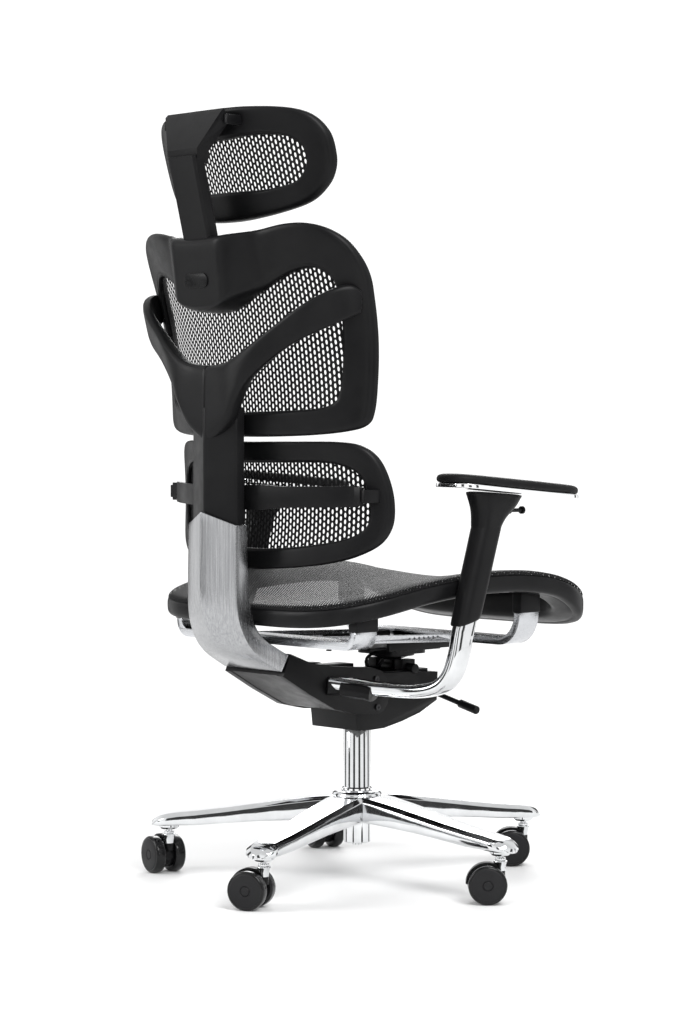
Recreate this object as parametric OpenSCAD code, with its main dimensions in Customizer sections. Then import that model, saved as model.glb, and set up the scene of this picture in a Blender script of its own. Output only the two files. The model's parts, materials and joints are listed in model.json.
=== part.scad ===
// Swivel office chair with a mesh seat, a two-part mesh back and a mesh headrest.
// The origin is on the floor, on the axis of the gas column. +Y is forward, +X the sitter's right.

/* [Base] */
// Radius of the circle of the caster stems
stem_circle_r = 310; // [285:5:340]
// Radius of the hub
hub_r = 40; // [36:1:46]
// Height of the top of the hub
hub_top_z = 143; // [135:1:150]
// Width of an arm at the hub
arm_root_w = 74; // [64:1:84]
// Width of an arm near its tip
arm_tip_w = 52; // [40:1:58]
// Thickness of an arm
arm_t = 17; // [14:1:22]

/* [Casters] */
// Radius of a wheel
wheel_r = 30; // [26:1:32]
// Width of one wheel
wheel_w = 19; // [16:1:22]
// Gap between the two wheels of a caster
wheel_gap = 17; // [16:1:20]
// Distance from the stem to the axle
caster_trail = 20; // [17:1:22]
// Radius of the stem
stem_r = 5.5; // [4.5:0.5:6]
// Radius of the axle
axle_r = 4; // [3:0.5:5]

/* [Column] */
// Outer radius of the column tube
tube_r = 21.8; // [20:0.2:25]
// Height of the top of the column tube
tube_top_z = 250; // [230:1:300]
// Radius of the gas cylinder
cylinder_r = 14; // [12:0.5:15]
// Radius of the piston rod
rod_r = 5; // [4:0.5:6]
// Travel of the seat height
lift_travel = 100; // [60:5:110]

/* [Mechanism] */
// Half width of the mechanism housing
housing_half_w = 53; // [46:1:60]
// Wall of the housing
housing_wall = 4; // [3:0.5:6]
// Radius of the recline pin
pin_r = 8; // [6:0.5:9]
// Thickness of a side plate of the back carrier
carrier_t = 15; // [12:1:18]

/* [Seat] */
// Half width of the seat
seat_half_w = 246; // [220:1:270]
// Length of the seat from back to front
seat_l = 592; // [560:4:620]
// Width of the seat ring
seat_ring_w = 48; // [40:1:56]
// Thickness of the seat ring
seat_ring_h = 30; // [24:1:36]
// Thickness of the woven seat
seat_mesh_t = 3; // [2:0.5:5]

/* [Back] */
// Half width of the upper back
back_half_w = 247; // [220:1:270]
// Height of the upper back
back_h = 320; // [290:5:350]
// Height of the lower edge of the upper back
back_z = 713; // [705:1:740]
// Thickness of the back frames
frame_t = 22; // [18:1:28]
// Half width of the lumbar panel
lumbar_half_w = 240; // [215:1:260]
// Height of the lumbar panel
lumbar_h = 196; // [176:2:204]
// Half width of the spine
spine_half_w = 57; // [50:1:64]
// Wall of the spine
spine_wall = 4; // [3:0.5:6]

/* [Headrest] */
// Half width of the headrest
head_half_w = 192; // [165:1:215]
// Height of the headrest
head_h = 170; // [150:2:190]
// Height of the lower edge of the headrest
head_z = 1039; // [1036:1:1060]
// Half width of the headrest post
post_half_w = 31; // [26:1:36]

/* [Armrests] */
// Gap between the seat and the armrest sleeve
arm_gap = 2; // [1.5:0.5:10]
// Width of the sleeve
sleeve_w = 34; // [30:1:40]
// Length of the arm pad
pad_l = 280; // [240:4:300]
// Width of the arm pad
pad_w = 92; // [70:1:100]
// Thickness of the arm pad
pad_t = 16; // [12:1:22]

/* [Hidden] */
$fn = 48;

// Running clearance of a shaft in its bore, and clearance of pieces that slide past each other
run = 0.05;
slide_gap = 0.5;
// Overlap that makes a drilled hole pass cleanly through a face
through = 1;

// ---- base and casters ----
// Directions of the five arms, and the direction each caster trails in
arm_angles = [-142, -70, 2, 74, 146];
trail_angles = [169, 207, 227, 227, 162];
boss_r = 16.5;
boss_z = 74;
tip_top_z = 98;
arm_reach = stem_circle_r + 28;
hub_bottom_z = 66;
hood_top_z = 65;
stem_top_z = 92;
stem_bottom_z = 42;
hood_t = wheel_gap - 2;
rod_bottom_z = 56;

// ---- mechanism: everything above the column follows the top of its tube ----
up = tube_top_z - 250;
housing_z = 246;
socket_top_z = 292;
recline_y = -21.5;
recline_z = 306;
seat_axis_y = 77;
seat_axis_z = 338;
plate_z = 373;
lever_x = housing_half_w + 8;
lever_y = 116;
lever_z = 297;
lever_slope = 12.7;
lever_r = 4;
lever_pin_r = 2.2;
grip_l = 38;
rod_l = 71;
strap_y = [-178, 178];
strap_z = [391, 379];
strap_len = 44;
strap_t = 12.5;
strap_half = seat_half_w - 32;
rail_x = 78;
rail_w = 5;

// ---- seat ----
seat_back_y = -262;
seat_front_y = seat_back_y + seat_l;

// ---- armrests ----
arm_x = seat_half_w + arm_gap + sleeve_w / 2;
arm_lean = 17.5;
sleeve_foot = [-20.5, 431];
bar_t = 22;
bar_w = 40;
pad_tilt = -5;
pad_y = 73;
pad_z = 629;

// ---- general functions ----
function mix(a, b, t) = a + (b - a) * t;
function curve_point(a, b, c, d, t) = 0.5 * (2 * b + (c - a) * t + (2 * a - 5 * b + 4 * c - d) * t * t
    + (3 * b - a - 3 * c + d) * t * t * t);
// A smooth closed curve, and a smooth open curve, through the points of p
function smooth_loop(p, steps) = let (n = len(p)) [for (i = [0:n - 1]) for (s = [0:steps - 1])
    curve_point(p[(i + n - 1) % n], p[i], p[(i + 1) % n], p[(i + 2) % n], s / steps)];
function smooth_path(p, steps) = let (n = len(p)) [for (i = [0:n - 2])
    for (s = [0:(i == n - 2 ? steps : steps - 1)])
        curve_point(p[max(i - 1, 0)], p[i], p[i + 1], p[min(i + 2, n - 1)], s / steps)];
// The whole outline from its right half, which runs from the bottom centre to the top centre
function both_sides(half) = concat(half, [for (i = [len(half) - 2:-1:1]) [-half[i][0], half[i][1]]]);
// Outline points given as shares of a half width and of a height above a lowest level
function sized(half, w, h, low) = [for (p = half) [p[0] * w, low + p[1] * h]];
function unit(v) = v / norm(v);

// A closed skin over rings that each have the same number of points; ends lists the faces that close an end
module skin(rings, closed = false, ends = []) {
    n = len(rings);
    m = len(rings[0]);
    last = closed ? n - 1 : n - 2;
    walls = [for (i = [0:last]) for (j = [0:m - 1])
        let (a = i * m + j, b = i * m + (j + 1) % m, k = ((i + 1) % n) * m, c = k + (j + 1) % m, d = k + j)
            each [[a, d, c], [a, c, b]]];
    lids = len(ends) > 0 ? ends : [[for (j = [0:m - 1]) j]];
    caps = closed ? [] : [for (f = lids) each [f, [for (j = [len(f) - 1:-1:0]) (n - 1) * m + f[j]]]];
    polyhedron([for (r = rings) each r], concat(walls, caps), convexity = 8);
}

// Section of a frame band: share of the way from the inner to the outer edge, share of half the thickness
band = [[0, -0.5], [0.14, -1], [0.86, -1], [1, -0.5], [1, 0.5], [0.86, 1], [0.14, 1], [0, 0.5]];

// An upright frame between two outlines; depth gives its Y at each X and Z
module upright_frame(inner, outer, thick, depth) {
    skin([for (i = [0:len(outer) - 1]) [for (k = band)
        let (x = mix(inner[i][0], outer[i][0], k[0]), z = mix(inner[i][1], outer[i][1], k[0]))
            [x, depth(x, z) + k[1] * thick / 2, z]]], true);
}

// A woven panel that fills an outline, and stays edge_gap inside it
panel_levels = [0.05, 0.36, 0.68, 1];
edge_gap = 0.6;
module upright_panel(outline, middle, thick, depth) {
    reach = [for (p = outline) let (d = [p[0], p[1] - middle]) (norm(d) - edge_gap) / norm(d)];
    ring = function(level, side) [for (i = [0:len(outline) - 1])
        let (k = level * reach[i], x = outline[i][0] * k, z = middle + (outline[i][1] - middle) * k)
            [x, depth(x, z) + side * thick / 2, z]];
    skin(concat([for (l = panel_levels) ring(l, 1)], [for (i = [3:-1:0]) ring(panel_levels[i], -1)]));
}

module rounded_box(size, r) {
    linear_extrude(size[2]) {
        square([size[0] - 2 * r, size[1]], center = true);
        square([size[0], size[1] - 2 * r], center = true);
        for (x = [-1, 1], y = [-1, 1]) {
            translate([x * (size[0] / 2 - r), y * (size[1] / 2 - r)]) circle(r);
        }
    }
}

// A plate whose outline is in Y and Z, from x0 to x1
module side_plate(x0, x1, outline) {
    translate([x0, 0, 0]) rotate([90, 0, 90]) linear_extrude(x1 - x0) polygon(outline);
}

// A round bar along X, centred on the middle plane
module cross_bar(y, z, r, half) {
    translate([-half, y, z]) rotate([0, 90, 0]) cylinder(r = r, h = 2 * half);
}

// ---- base ----
module arm_side() {
    polygon([[20, hub_top_z - 5], [stem_circle_r * 0.35, hub_top_z - 14], [stem_circle_r * 0.68, hub_top_z - 30],
        [stem_circle_r, tip_top_z + 2], [arm_reach - 8, tip_top_z - 5], [arm_reach, tip_top_z - 12],
        [arm_reach, tip_top_z - 16], [stem_circle_r, tip_top_z - arm_t + 2],
        [stem_circle_r * 0.68, hub_top_z - 31 - arm_t], [stem_circle_r * 0.35, hub_top_z - 24 - arm_t],
        [20, hub_top_z - 30 - arm_t]]);
}

module star_arm() {
    intersection() {
        rotate([90, 0, 0]) translate([0, 0, -arm_root_w]) linear_extrude(2 * arm_root_w) arm_side();
        translate([0, 0, boss_z]) linear_extrude(hub_top_z - boss_z) union() {
            polygon([[0, -arm_root_w / 2], [arm_reach - arm_tip_w / 2, -arm_tip_w / 2],
                [arm_reach - arm_tip_w / 2, arm_tip_w / 2], [0, arm_root_w / 2]]);
            translate([arm_reach - arm_tip_w / 2, 0]) circle(arm_tip_w / 2);
        }
    }
    translate([stem_circle_r, 0, boss_z]) cylinder(r = boss_r, h = tip_top_z - arm_t / 2 - boss_z);
}

module base_star() {
    color("silver") difference() {
        union() {
            for (a = arm_angles) {
                rotate(a) star_arm();
            }
            translate([0, 0, hub_bottom_z]) cylinder(r = hub_r, h = hub_top_z - hub_bottom_z);
        }
        translate([0, 0, hub_bottom_z - through]) cylinder(r = tube_r, h = hub_top_z - hub_bottom_z + 2 * through);
        for (a = arm_angles) {
            rotate(a) translate([stem_circle_r, 0, boss_z - through]) cylinder(r = stem_r, h = stem_top_z - boss_z + through);
        }
    }
}

module column_tube() {
    color("gainsboro") difference() {
        translate([0, 0, rod_bottom_z + 4]) cylinder(r = tube_r, h = tube_top_z - rod_bottom_z - 4);
        translate([0, 0, rod_bottom_z + 8]) cylinder(r = tube_r - 2, h = tube_top_z);
        translate([0, 0, rod_bottom_z]) cylinder(r = rod_r + run, h = 20);
    }
}

module column_bush() {
    color("dimgray") difference() {
        translate([0, 0, tube_top_z - 62]) cylinder(r = tube_r - 2, h = 62);
        translate([0, 0, tube_top_z - 62 - through]) cylinder(r = cylinder_r + run, h = 62 + 2 * through);
    }
}

module thrust_bearing() {
    color("silver") difference() {
        translate([0, 0, rod_bottom_z + 8]) cylinder(r = 13, h = 6);
        translate([0, 0, rod_bottom_z + 7]) cylinder(r = rod_r + run, h = 8);
    }
}

module rod_clip() {
    color("gray") difference() {
        translate([0, 0, rod_bottom_z + 2.3]) cylinder(r = 10, h = 1.7);
        translate([0, 0, rod_bottom_z + 1]) cylinder(r = rod_r + run, h = 4);
    }
}

module piston_rod() {
    color("lightgray") {
        translate([0, 0, rod_bottom_z]) cylinder(r = rod_r, h = tube_top_z - rod_bottom_z - 6);
        translate([0, 0, rod_bottom_z]) cylinder(r = rod_r + 3, h = 2);
        translate([0, 0, rod_bottom_z + 14.3]) cylinder(r = 9, h = 3);
    }
}

module at_stem(i) {
    rotate(arm_angles[i]) translate([stem_circle_r, 0, 0]) rotate(trail_angles[i] - arm_angles[i]) children();
}

module caster_stems() {
    color("gainsboro") for (a = arm_angles) {
        rotate(a) translate([stem_circle_r, 0, stem_bottom_z]) {
            cylinder(r = stem_r, h = stem_top_z - stem_bottom_z);
            translate([0, 0, hood_top_z + 1 - stem_bottom_z]) cylinder(r = stem_r + 3, h = 4);
        }
    }
}

module caster_hood(i) {
    socket_r = hood_t / 2;
    color("silver") at_stem(i) {
        difference() {
            union() {
                translate([0, 0, stem_bottom_z - 4]) cylinder(r = socket_r, h = hood_top_z - stem_bottom_z + 4);
                translate([caster_trail, hood_t / 2, wheel_r]) rotate([90, 0, 0]) cylinder(r = wheel_r - 8, h = hood_t);
                translate([caster_trail, hood_t / 2, wheel_r]) rotate([90, 0, 0]) difference() {
                    cylinder(r = wheel_r + 3, h = hood_t);
                    translate([0, 0, -through]) cylinder(r = wheel_r - 1, h = hood_t + 2 * through);
                    translate([-50, -100, -through]) cube([100, 100, hood_t + 2 * through]);
                    translate([-50, -1, -through]) cube([50 - caster_trail + 2, 50, hood_t + 2 * through]);
                }
                translate([0, -hood_t / 2, wheel_r]) cube([caster_trail, hood_t, wheel_r - 8]);
                translate([caster_trail, -hood_t / 2, wheel_r + 10]) cube([6, hood_t, wheel_r - 9]);
            }
            translate([0, 0, stem_bottom_z]) cylinder(r = stem_r + run, h = 100);
        }
        translate([caster_trail, wheel_gap / 2 + wheel_w - 3, wheel_r]) rotate([90, 0, 0])
            cylinder(r = axle_r, h = wheel_gap + 2 * wheel_w - 6);
    }
}

module wheel(i, side) {
    color("#1b1b1c") at_stem(i) translate([caster_trail, 0, wheel_r]) rotate([side > 0 ? -90 : 90, 0, 0])
        translate([0, 0, wheel_gap / 2]) rotate_extrude() polygon([[axle_r + run, 0], [wheel_r - 1.5, 0],
            [wheel_r, 1.5], [wheel_r, wheel_w - 4], [wheel_r - 3, wheel_w - 1], [wheel_r - 6, wheel_w],
            [0, wheel_w], [0, wheel_w - 2], [axle_r + run, wheel_w - 2]]);
}

// ---- mechanism ----
module gas_cylinder() {
    color("silver") translate([0, 0, up]) difference() {
        translate([0, 0, 128]) cylinder(r = cylinder_r, h = socket_top_z - 128);
        translate([0, 0, 127]) cylinder(r = rod_r + run, h = 120);
    }
}

housing_outline = [[-49, housing_z + 1], [-20, housing_z], [10, housing_z + 1], [50, housing_z + 9],
    [90, housing_z + 20], [128, housing_z + 38], [130, housing_z + 84], [60, housing_z + 88],
    [-40, housing_z + 90], [-58, housing_z + 74]];

module mech_housing() {
    inner = housing_half_w - housing_wall;
    color("#202022") translate([0, 0, up]) {
        difference() {
            side_plate(-housing_half_w, housing_half_w, housing_outline);
            side_plate(-inner, inner, [[-45, housing_z + 8], [60, housing_z + 16], [122, housing_z + 42],
                [124, housing_z + 78], [-40, housing_z + 82], [-50, housing_z + 70]]);
            translate([0, 0, housing_z - through]) cylinder(r = tube_r + 2, h = 20);
            cross_bar(recline_y, recline_z, pin_r, housing_half_w + through);
            translate([-44, -40, housing_z + 60]) cube([88, 156, 60]);
            cross_bar(seat_axis_y, seat_axis_z, pin_r, housing_half_w + through);
        }
        for (y = [lever_y - 8, lever_y + 5]) {
            translate([housing_half_w - 1, y, lever_z - 6]) cube([lever_x - housing_half_w + 6, 3, 12]);
        }
        translate([lever_x, lever_y + 8, lever_z]) rotate([90, 0, 0]) cylinder(r = lever_pin_r, h = 16);
        difference() {
            translate([0, 0, housing_z + 7]) cylinder(r = tube_r + 5, h = socket_top_z - housing_z - 5);
            translate([0, 0, housing_z]) cylinder(r = tube_r + 2, h = 19);
            translate([0, 0, housing_z]) cylinder(r = cylinder_r, h = 60);
        }
    }
}

module mech_cover() {
    lid_z = housing_z + 91;
    color("#19191b") translate([0, 0, up]) {
        difference() {
            union() {
                translate([-44, -40, lid_z - 6]) cube([88, 156, 5]);
                for (x = [-40, 22]) {
                    translate([x, seat_axis_y - 14, lid_z - 6]) cube([18, 28, 13 + pin_r]);
                }
            }
            // Room for the seat carrier and for the cable, which dips as the seat tilts
            translate([-20, seat_axis_y - 74, lid_z - 10]) cube([40, 98, 20]);
            cross_bar(seat_axis_y, seat_axis_z, pin_r, 100);
        }
        translate([-42, -54, lid_z + 0.5]) cube([36, 52, 10]);
        translate([-40, -38, lid_z - 2]) cube([30, 30, 5]);
    }
}

module recline_pin() {
    color("silver") translate([0, 0, up]) cross_bar(recline_y, recline_z, pin_r, housing_half_w + 10);
}

spring_wire = 2.4;
spring_turns = 3;
// Torsion springs wound round the recline pin, one each side of the gas cylinder
module recline_springs() {
    coil_r = pin_r + spring_wire + 1;
    steps = 12;
    color("gray") translate([0, recline_y, recline_z + up]) for (side = [-1, 1]) {
        skin([for (k = [0:spring_turns * steps]) let (a = k * 360 / steps, x = side * (22 + k * 0.62))
            [for (j = [0:5]) let (b = -j * 60, r = coil_r + spring_wire * cos(b))
                [x + spring_wire * sin(b), r * cos(a), r * sin(a)]]]);
    }
}

module seat_shaft() {
    color("#1a1a1c") translate([0, 0, up]) cross_bar(seat_axis_y, seat_axis_z, pin_r, 56);
}

module at_lever() {
    translate([lever_x, lever_y, lever_z + up]) rotate([0, 90 + lever_slope, 0]) children();
}

module lift_lever_rod() {
    color("#262628") difference() {
        union() {
            at_lever() cylinder(r = lever_r, h = rod_l);
            at_lever() rotate([90, 0, 0]) cylinder(r = lever_r + 1.5, h = 9, center = true);
        }
        at_lever() rotate([90, 0, 0]) cylinder(r = lever_pin_r + run, h = 20, center = true);
    }
}

module lift_lever_grip() {
    color("#1c1c1e") at_lever() translate([0, 0, rod_l - 12]) difference() {
        union() {
            cylinder(r = 6.8, h = grip_l);
            translate([0, 0, grip_l]) cylinder(r1 = 6.8, r2 = 5, h = 2);
        }
        translate([0, 0, -through]) cylinder(r = lever_r, h = 12 + through);
    }
}

// ---- back carrier ----
// Stations down the spine: front edge [Y, Z], outward direction [Y, Z], half width share, ridge, side depth
spine_stations = [
    [[-281, 579], [-1, 0], 0.98, 23, 22], [[-280, 526], [-1, 0], 1, 23, 24], [[-278, 478], [-1, 0], 1.01, 23, 26],
    [[-273, 441], [-0.98, -0.2], 1.04, 18, 28], [[-262, 415], [-0.87, -0.5], 1.08, 10, 28],
    [[-246, 400], [-0.66, -0.75], 1.12, 5, 29], [[-228, 389], [-0.53, -0.85], 1.15, 2, 29],
    [[-206, 377], [-0.5, -0.866], 1.18, 0, 29]];

// U-shaped section of the spine at a station: out is 0 on the front edge
function spine_section(s) = let (w = s[2] * spine_half_w, t = spine_wall, d = s[4], v = s[3]) [
    [-w, 0], [-w, d], [0, d + v], [w, d], [w, 0], [w - t, 0], [w - t, d - t], [0, d + v - t], [t - w, d - t],
    [t - w, 0]];
function spine_ring(s, top) = [for (p = spine_section(s)) [p[0], s[0][0] + s[1][0] * p[1],
    s[0][1] + s[1][1] * p[1] + up + (top ? 20 * (1 - abs(p[0]) / spine_half_w / s[2]) : 0)]];

module back_spine() {
    color("silver") skin([for (i = [len(spine_stations) - 1:-1:0]) spine_ring(spine_stations[i], i == 0)],
        ends = [[0, 1, 8, 9], [1, 2, 7, 8], [2, 3, 6, 7], [3, 4, 5, 6]]);
}

carrier_in = housing_half_w + 1;
carrier_out = carrier_in + carrier_t;
carrier_outline = [[-204, 379], [-160, 362], [-118, 355], [-66, 350], [-33, 348], [-8, 340], [4, 322], [6, 306],
    [3, 288], [-8, 276], [-21, 273], [-66, 276], [-110, 286], [-165, 314], [-219, 345]];

module carrier_bracket() {
    color("#1d1d1f") translate([0, 0, up]) difference() {
        union() {
            for (x = [carrier_in, -carrier_out]) {
                side_plate(x, x + carrier_t, carrier_outline);
            }
            skin(pod_rings());
            mirror([1, 0, 0]) skin(pod_rings());
            side_plate(-carrier_in - 1, carrier_in + 1, [[-219, 346], [-204, 376], [-196, 372], [-196, 340],
                [-100, 292], [-94, 283], [-110, 287], [-165, 315]]);
        }
        cross_bar(recline_y, recline_z, pin_r + run, 200);
        translate([0, 0, -up]) skin(bar_rings(smooth_path(bar_points, 4)));
        translate([0, 0, -up]) mirror([1, 0, 0]) skin(bar_rings(smooth_path(bar_points, 4)));
    }
}

module bracket_screws() {
    color("#111112") translate([0, 0, up]) for (side = [-1, 1]) {
        for (p = [[recline_y - 2, recline_z + 23], [recline_y + 1, recline_z - 22]]) {
            translate([side * (carrier_out + 1.5), p[0], p[1]]) rotate([0, 90, 0]) difference() {
                cylinder(r = 5, h = 3, center = true);
                translate([0, 0, side * 1.5]) cylinder(r = 2.4, h = 2, center = true, $fn = 6);
            }
        }
    }
}

function bar_axis_y(z) = sleeve_foot[0] + (z - sleeve_foot[1]) * tan(arm_lean);
// Middle line of the right arm bar, from the carrier bracket up into the sleeve
bar_in = carrier_out - 7;
bar_points = [[bar_in, -116, 330], [carrier_out + 16, -101, 327], [arm_x - 155, -83, 323], [arm_x - 135, -74, 321],
    [arm_x - 95, -60, 320], [arm_x - 58, -50, 322], [arm_x - 28, -43, 331], [arm_x - 10, -38, 350],
    [arm_x - 2, -33, 378], for (z = [406, 418, 440, 500, 552]) [arm_x, bar_axis_y(z), z]];

// Rings of a flat oval swept along a path, wide across Y where it can be
function oval_rings(path, w, h, drop) = [for (i = [0:len(path) - 1])
    let (t = unit(path[min(i + 1, len(path) - 1)] - path[max(i - 1, 0)]),
        wide = unit([0, 1, 0] - t[1] * t), thin = cross(t, wide))
        [for (j = [0:11]) let (a = j * 30, e = 0.8)
            path[i] + wide * w / 2 * sign(cos(a)) * pow(abs(cos(a)), e)
                + thin * h / 2 * sign(sin(a)) * pow(abs(sin(a)), e) - [0, 0, drop]]];
function bar_rings(path) = oval_rings(path, bar_w, bar_t, -up);
// The pod of the bracket that holds the root of the bar
function pod_rings() = let (q = [for (k = [0:3]) bar_points[k]])
    oval_rings([[carrier_in + 3, -122, 329], q[1] - [12, -6, -1], q[1], q[2], q[3] - [8, 3, 0]], bar_w + 9, bar_t + 8, 5);

module arm_bar_right() {
    color("gainsboro") skin(bar_rings(smooth_path(bar_points, 4)));
}

// ---- back mast: yoke, upper back and lumbar carrier ----
mast_half_w = 0.98 * spine_half_w - spine_wall - slide_gap;
mast_rear_y = -319.8;
mast_edge_y = -298.2;
mast_front_y = -281;
fork_scale = back_half_w / 247;
// Right branch of the yoke: upper edge [X, Z], lower edge [X, Z], middle Y, thickness
yoke_branch = [[[-2, 822], [-2, 700], -306, 26], [[28, 824], [43, 728], -306, 26], [[60, 832], [66, 764], -307, 26],
    [[105, 859], [86, 796], -302, 22], [[145, 886], [121, 826], -292, 18], [[185, 912], [163, 853], -279, 17],
    [[215, 931], [200, 873], -256, 17], [[229, 939], [224, 888], -230, 18], [[235, 930], [233, 898], -211, 15]];

function branch_rings() = let (mids = [for (s = yoke_branch)
        [(s[0][0] + s[1][0]) / 2 * fork_scale, s[2], (s[0][1] + s[1][1]) / 2]])
    [for (i = [0:len(yoke_branch) - 1])
        let (s = yoke_branch[i], t = unit(mids[min(i + 1, len(mids) - 1)] - mids[max(i - 1, 0)]),
            high = [(s[0][0] - s[1][0]) / 2, 0, (s[0][1] - s[1][1]) / 2], out = unit(cross(t, high)) * s[3] / 2)
            [for (k = [[-1, -0.5], [-0.8, -1], [0.8, -1], [1, -0.5], [1, 0.5], [0.8, 1], [-0.8, 1], [-1, 0.5]])
                mids[i] + high * k[0] + out * k[1] + [0, 0, up]]];

module back_yoke() {
    color("#1b1b1d") {
        translate([0, 0, 482 + up]) linear_extrude(276) polygon([[-mast_half_w, mast_front_y],
            [-mast_half_w, mast_edge_y], [0, mast_rear_y], [mast_half_w, mast_edge_y], [mast_half_w, mast_front_y]]);
        skin(branch_rings());
        mirror([1, 0, 0]) skin(branch_rings());
    }
}

// Right half outlines of the upper back, as shares of half width and height
upper_half = [[0, 0], [0.3, 0], [0.6, 0.008], [0.8, 0.026], [0.9, 0.055], [0.935, 0.12], [0.955, 0.27], [0.976, 0.456],
    [0.992, 0.64], [1, 0.75], [0.98, 0.84], [0.93, 0.92], [0.84, 0.972], [0.72, 0.995], [0.58, 0.992], [0.42, 0.972],
    [0.28, 0.96], [0.14, 0.952], [0, 0.95]];
upper_window_half = [[0, 0.118], [0.2, 0.12], [0.45, 0.126], [0.66, 0.138], [0.745, 0.165], [0.777, 0.21], [0.8, 0.3],
    [0.825, 0.487], [0.836, 0.6], [0.832, 0.7], [0.808, 0.745], [0.765, 0.775], [0.71, 0.787], [0.625, 0.778],
    [0.534, 0.752], [0.41, 0.705], [0.28, 0.654], [0.146, 0.602], [0, 0.588]];
outline_steps = 2;
upper_outer = smooth_loop(both_sides(sized(upper_half, back_half_w, back_h, back_z)), outline_steps);
upper_window = smooth_loop(both_sides(sized(upper_window_half, back_half_w, back_h, back_z)), outline_steps);
function upper_edge_y(z) = -171 - 48 * pow(max(z - back_z - 45, 0) / 225, 2);
function upper_mid_y(z) = -258 - 42 * pow(max(z - back_z, 0) / 290, 1.4);
upper_depth = function(x, z) mix(upper_mid_y(z), upper_edge_y(z), pow(min(abs(x) / back_half_w, 1), 2.1));

post_lean = 14;
post_t = 22;
post_foot = [-303, 930];
collar_half_w = post_half_w + 16;
// The middle of the frame grows backwards to hold the post
function step(a, b, t) = let (k = min(max((t - a) / (b - a), 0), 1)) k * k * (3 - 2 * k);
function collar_share(x, z) = step(collar_half_w + 60, collar_half_w, abs(x)) * step(880, 902, z);
function collar_y(z) = -327 - 0.13 * (z - 905);

module at_post() {
    translate([0, post_foot[0], post_foot[1] + up]) rotate([post_lean, 0, 0]) children();
}

function upper_rear(x, z, y) = mix(y, collar_y(z), collar_share(x, z));
module upper_frame() {
    rings = [for (i = [0:len(upper_outer) - 1]) [for (k = band)
        let (x = mix(upper_window[i][0], upper_outer[i][0], k[0]), z = mix(upper_window[i][1], upper_outer[i][1], k[0]),
            y = upper_depth(x, z) + k[1] * frame_t / 2) [x, k[1] < 0 ? upper_rear(x, z, y) : y, z]]];
    color("#1b1b1d") difference() {
        translate([0, 0, up]) skin(rings, true);
        at_post() translate([-post_half_w - slide_gap, -post_t / 2 - slide_gap, -22])
            cube([2 * (post_half_w + slide_gap), post_t + 2 * slide_gap, 200]);
    }
}

module upper_mesh() {
    color("#2c2c2e") translate([0, 0, up])
        upright_panel(upper_window, back_z + back_h * 0.4, 2.5, upper_depth);
}

module back_badge() {
    color("#2a2a2c") translate([0, collar_y(950), 950 + up]) rotate([97.4, 0, 0]) linear_extrude(2) union() {
        square([32, 22], center = true);
        translate([-16, 0]) circle(11);
        translate([16, 0]) circle(11);
    }
}

// Right half outlines of the lumbar panel, as shares of half width and height
lumbar_half = [[0, 0], [0.2, 0], [0.475, 0.025], [0.65, 0.055], [0.8, 0.105], [0.93, 0.2], [0.99, 0.335], [1, 0.51], [0.98, 0.7],
    [0.935, 0.87], [0.86, 0.965], [0.74, 1], [0.48, 1.003], [0, 1]];
lumbar_window_half = [[0, 0.165], [0.2, 0.165], [0.4, 0.18], [0.617, 0.215], [0.767, 0.258], [0.855, 0.32],
    [0.888, 0.4], [0.89, 0.516], [0.876, 0.63], [0.84, 0.735], [0.765, 0.8], [0.62, 0.835], [0.34, 0.835], [0, 0.83]];
lumbar_z = back_z - 7 - lumbar_h;
lumbar_outer = smooth_loop(both_sides(sized(lumbar_half, lumbar_half_w, lumbar_h, lumbar_z)), outline_steps);
lumbar_window = smooth_loop(both_sides(sized(lumbar_window_half, lumbar_half_w, lumbar_h, lumbar_z)),
    outline_steps);
lumbar_depth = function(x, z) -232 + 82 * pow(min(abs(x) / lumbar_half_w, 1), 2.1)
    - 10 * pow((z - lumbar_z - lumbar_h / 2) / lumbar_h * 2, 2);
lumbar_axis = [-192, 624];
lug_x = lumbar_half_w - 25;
lug_t = 12;
lumbar_pin_r = 4;

module lumbar_frame() {
    color("#1b1b1d") translate([0, 0, up]) {
        upright_frame(lumbar_window, lumbar_outer, frame_t - 4, lumbar_depth);
        for (side = [-1, 1]) {
            translate([side * (lug_x + lug_t / 2 + 4.5) - 4, 0, 0]) side_plate(0, 8,
                [[lumbar_axis[0] - 7, lumbar_axis[1] - 8], [lumbar_axis[0] + 32, lumbar_axis[1] - 14],
                    [lumbar_axis[0] + 32, lumbar_axis[1] + 14], [lumbar_axis[0] - 7, lumbar_axis[1] + 8]]);
            translate([side * (lug_x + 1) - 7, lumbar_axis[0], lumbar_axis[1]]) rotate([0, 90, 0])
                cylinder(r = lumbar_pin_r, h = 14);
        }
    }
}

module lumbar_mesh() {
    color("#2c2c2e") translate([0, 0, up])
        upright_panel(lumbar_window, lumbar_z + lumbar_h / 2, 2.5, lumbar_depth);
}

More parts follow.
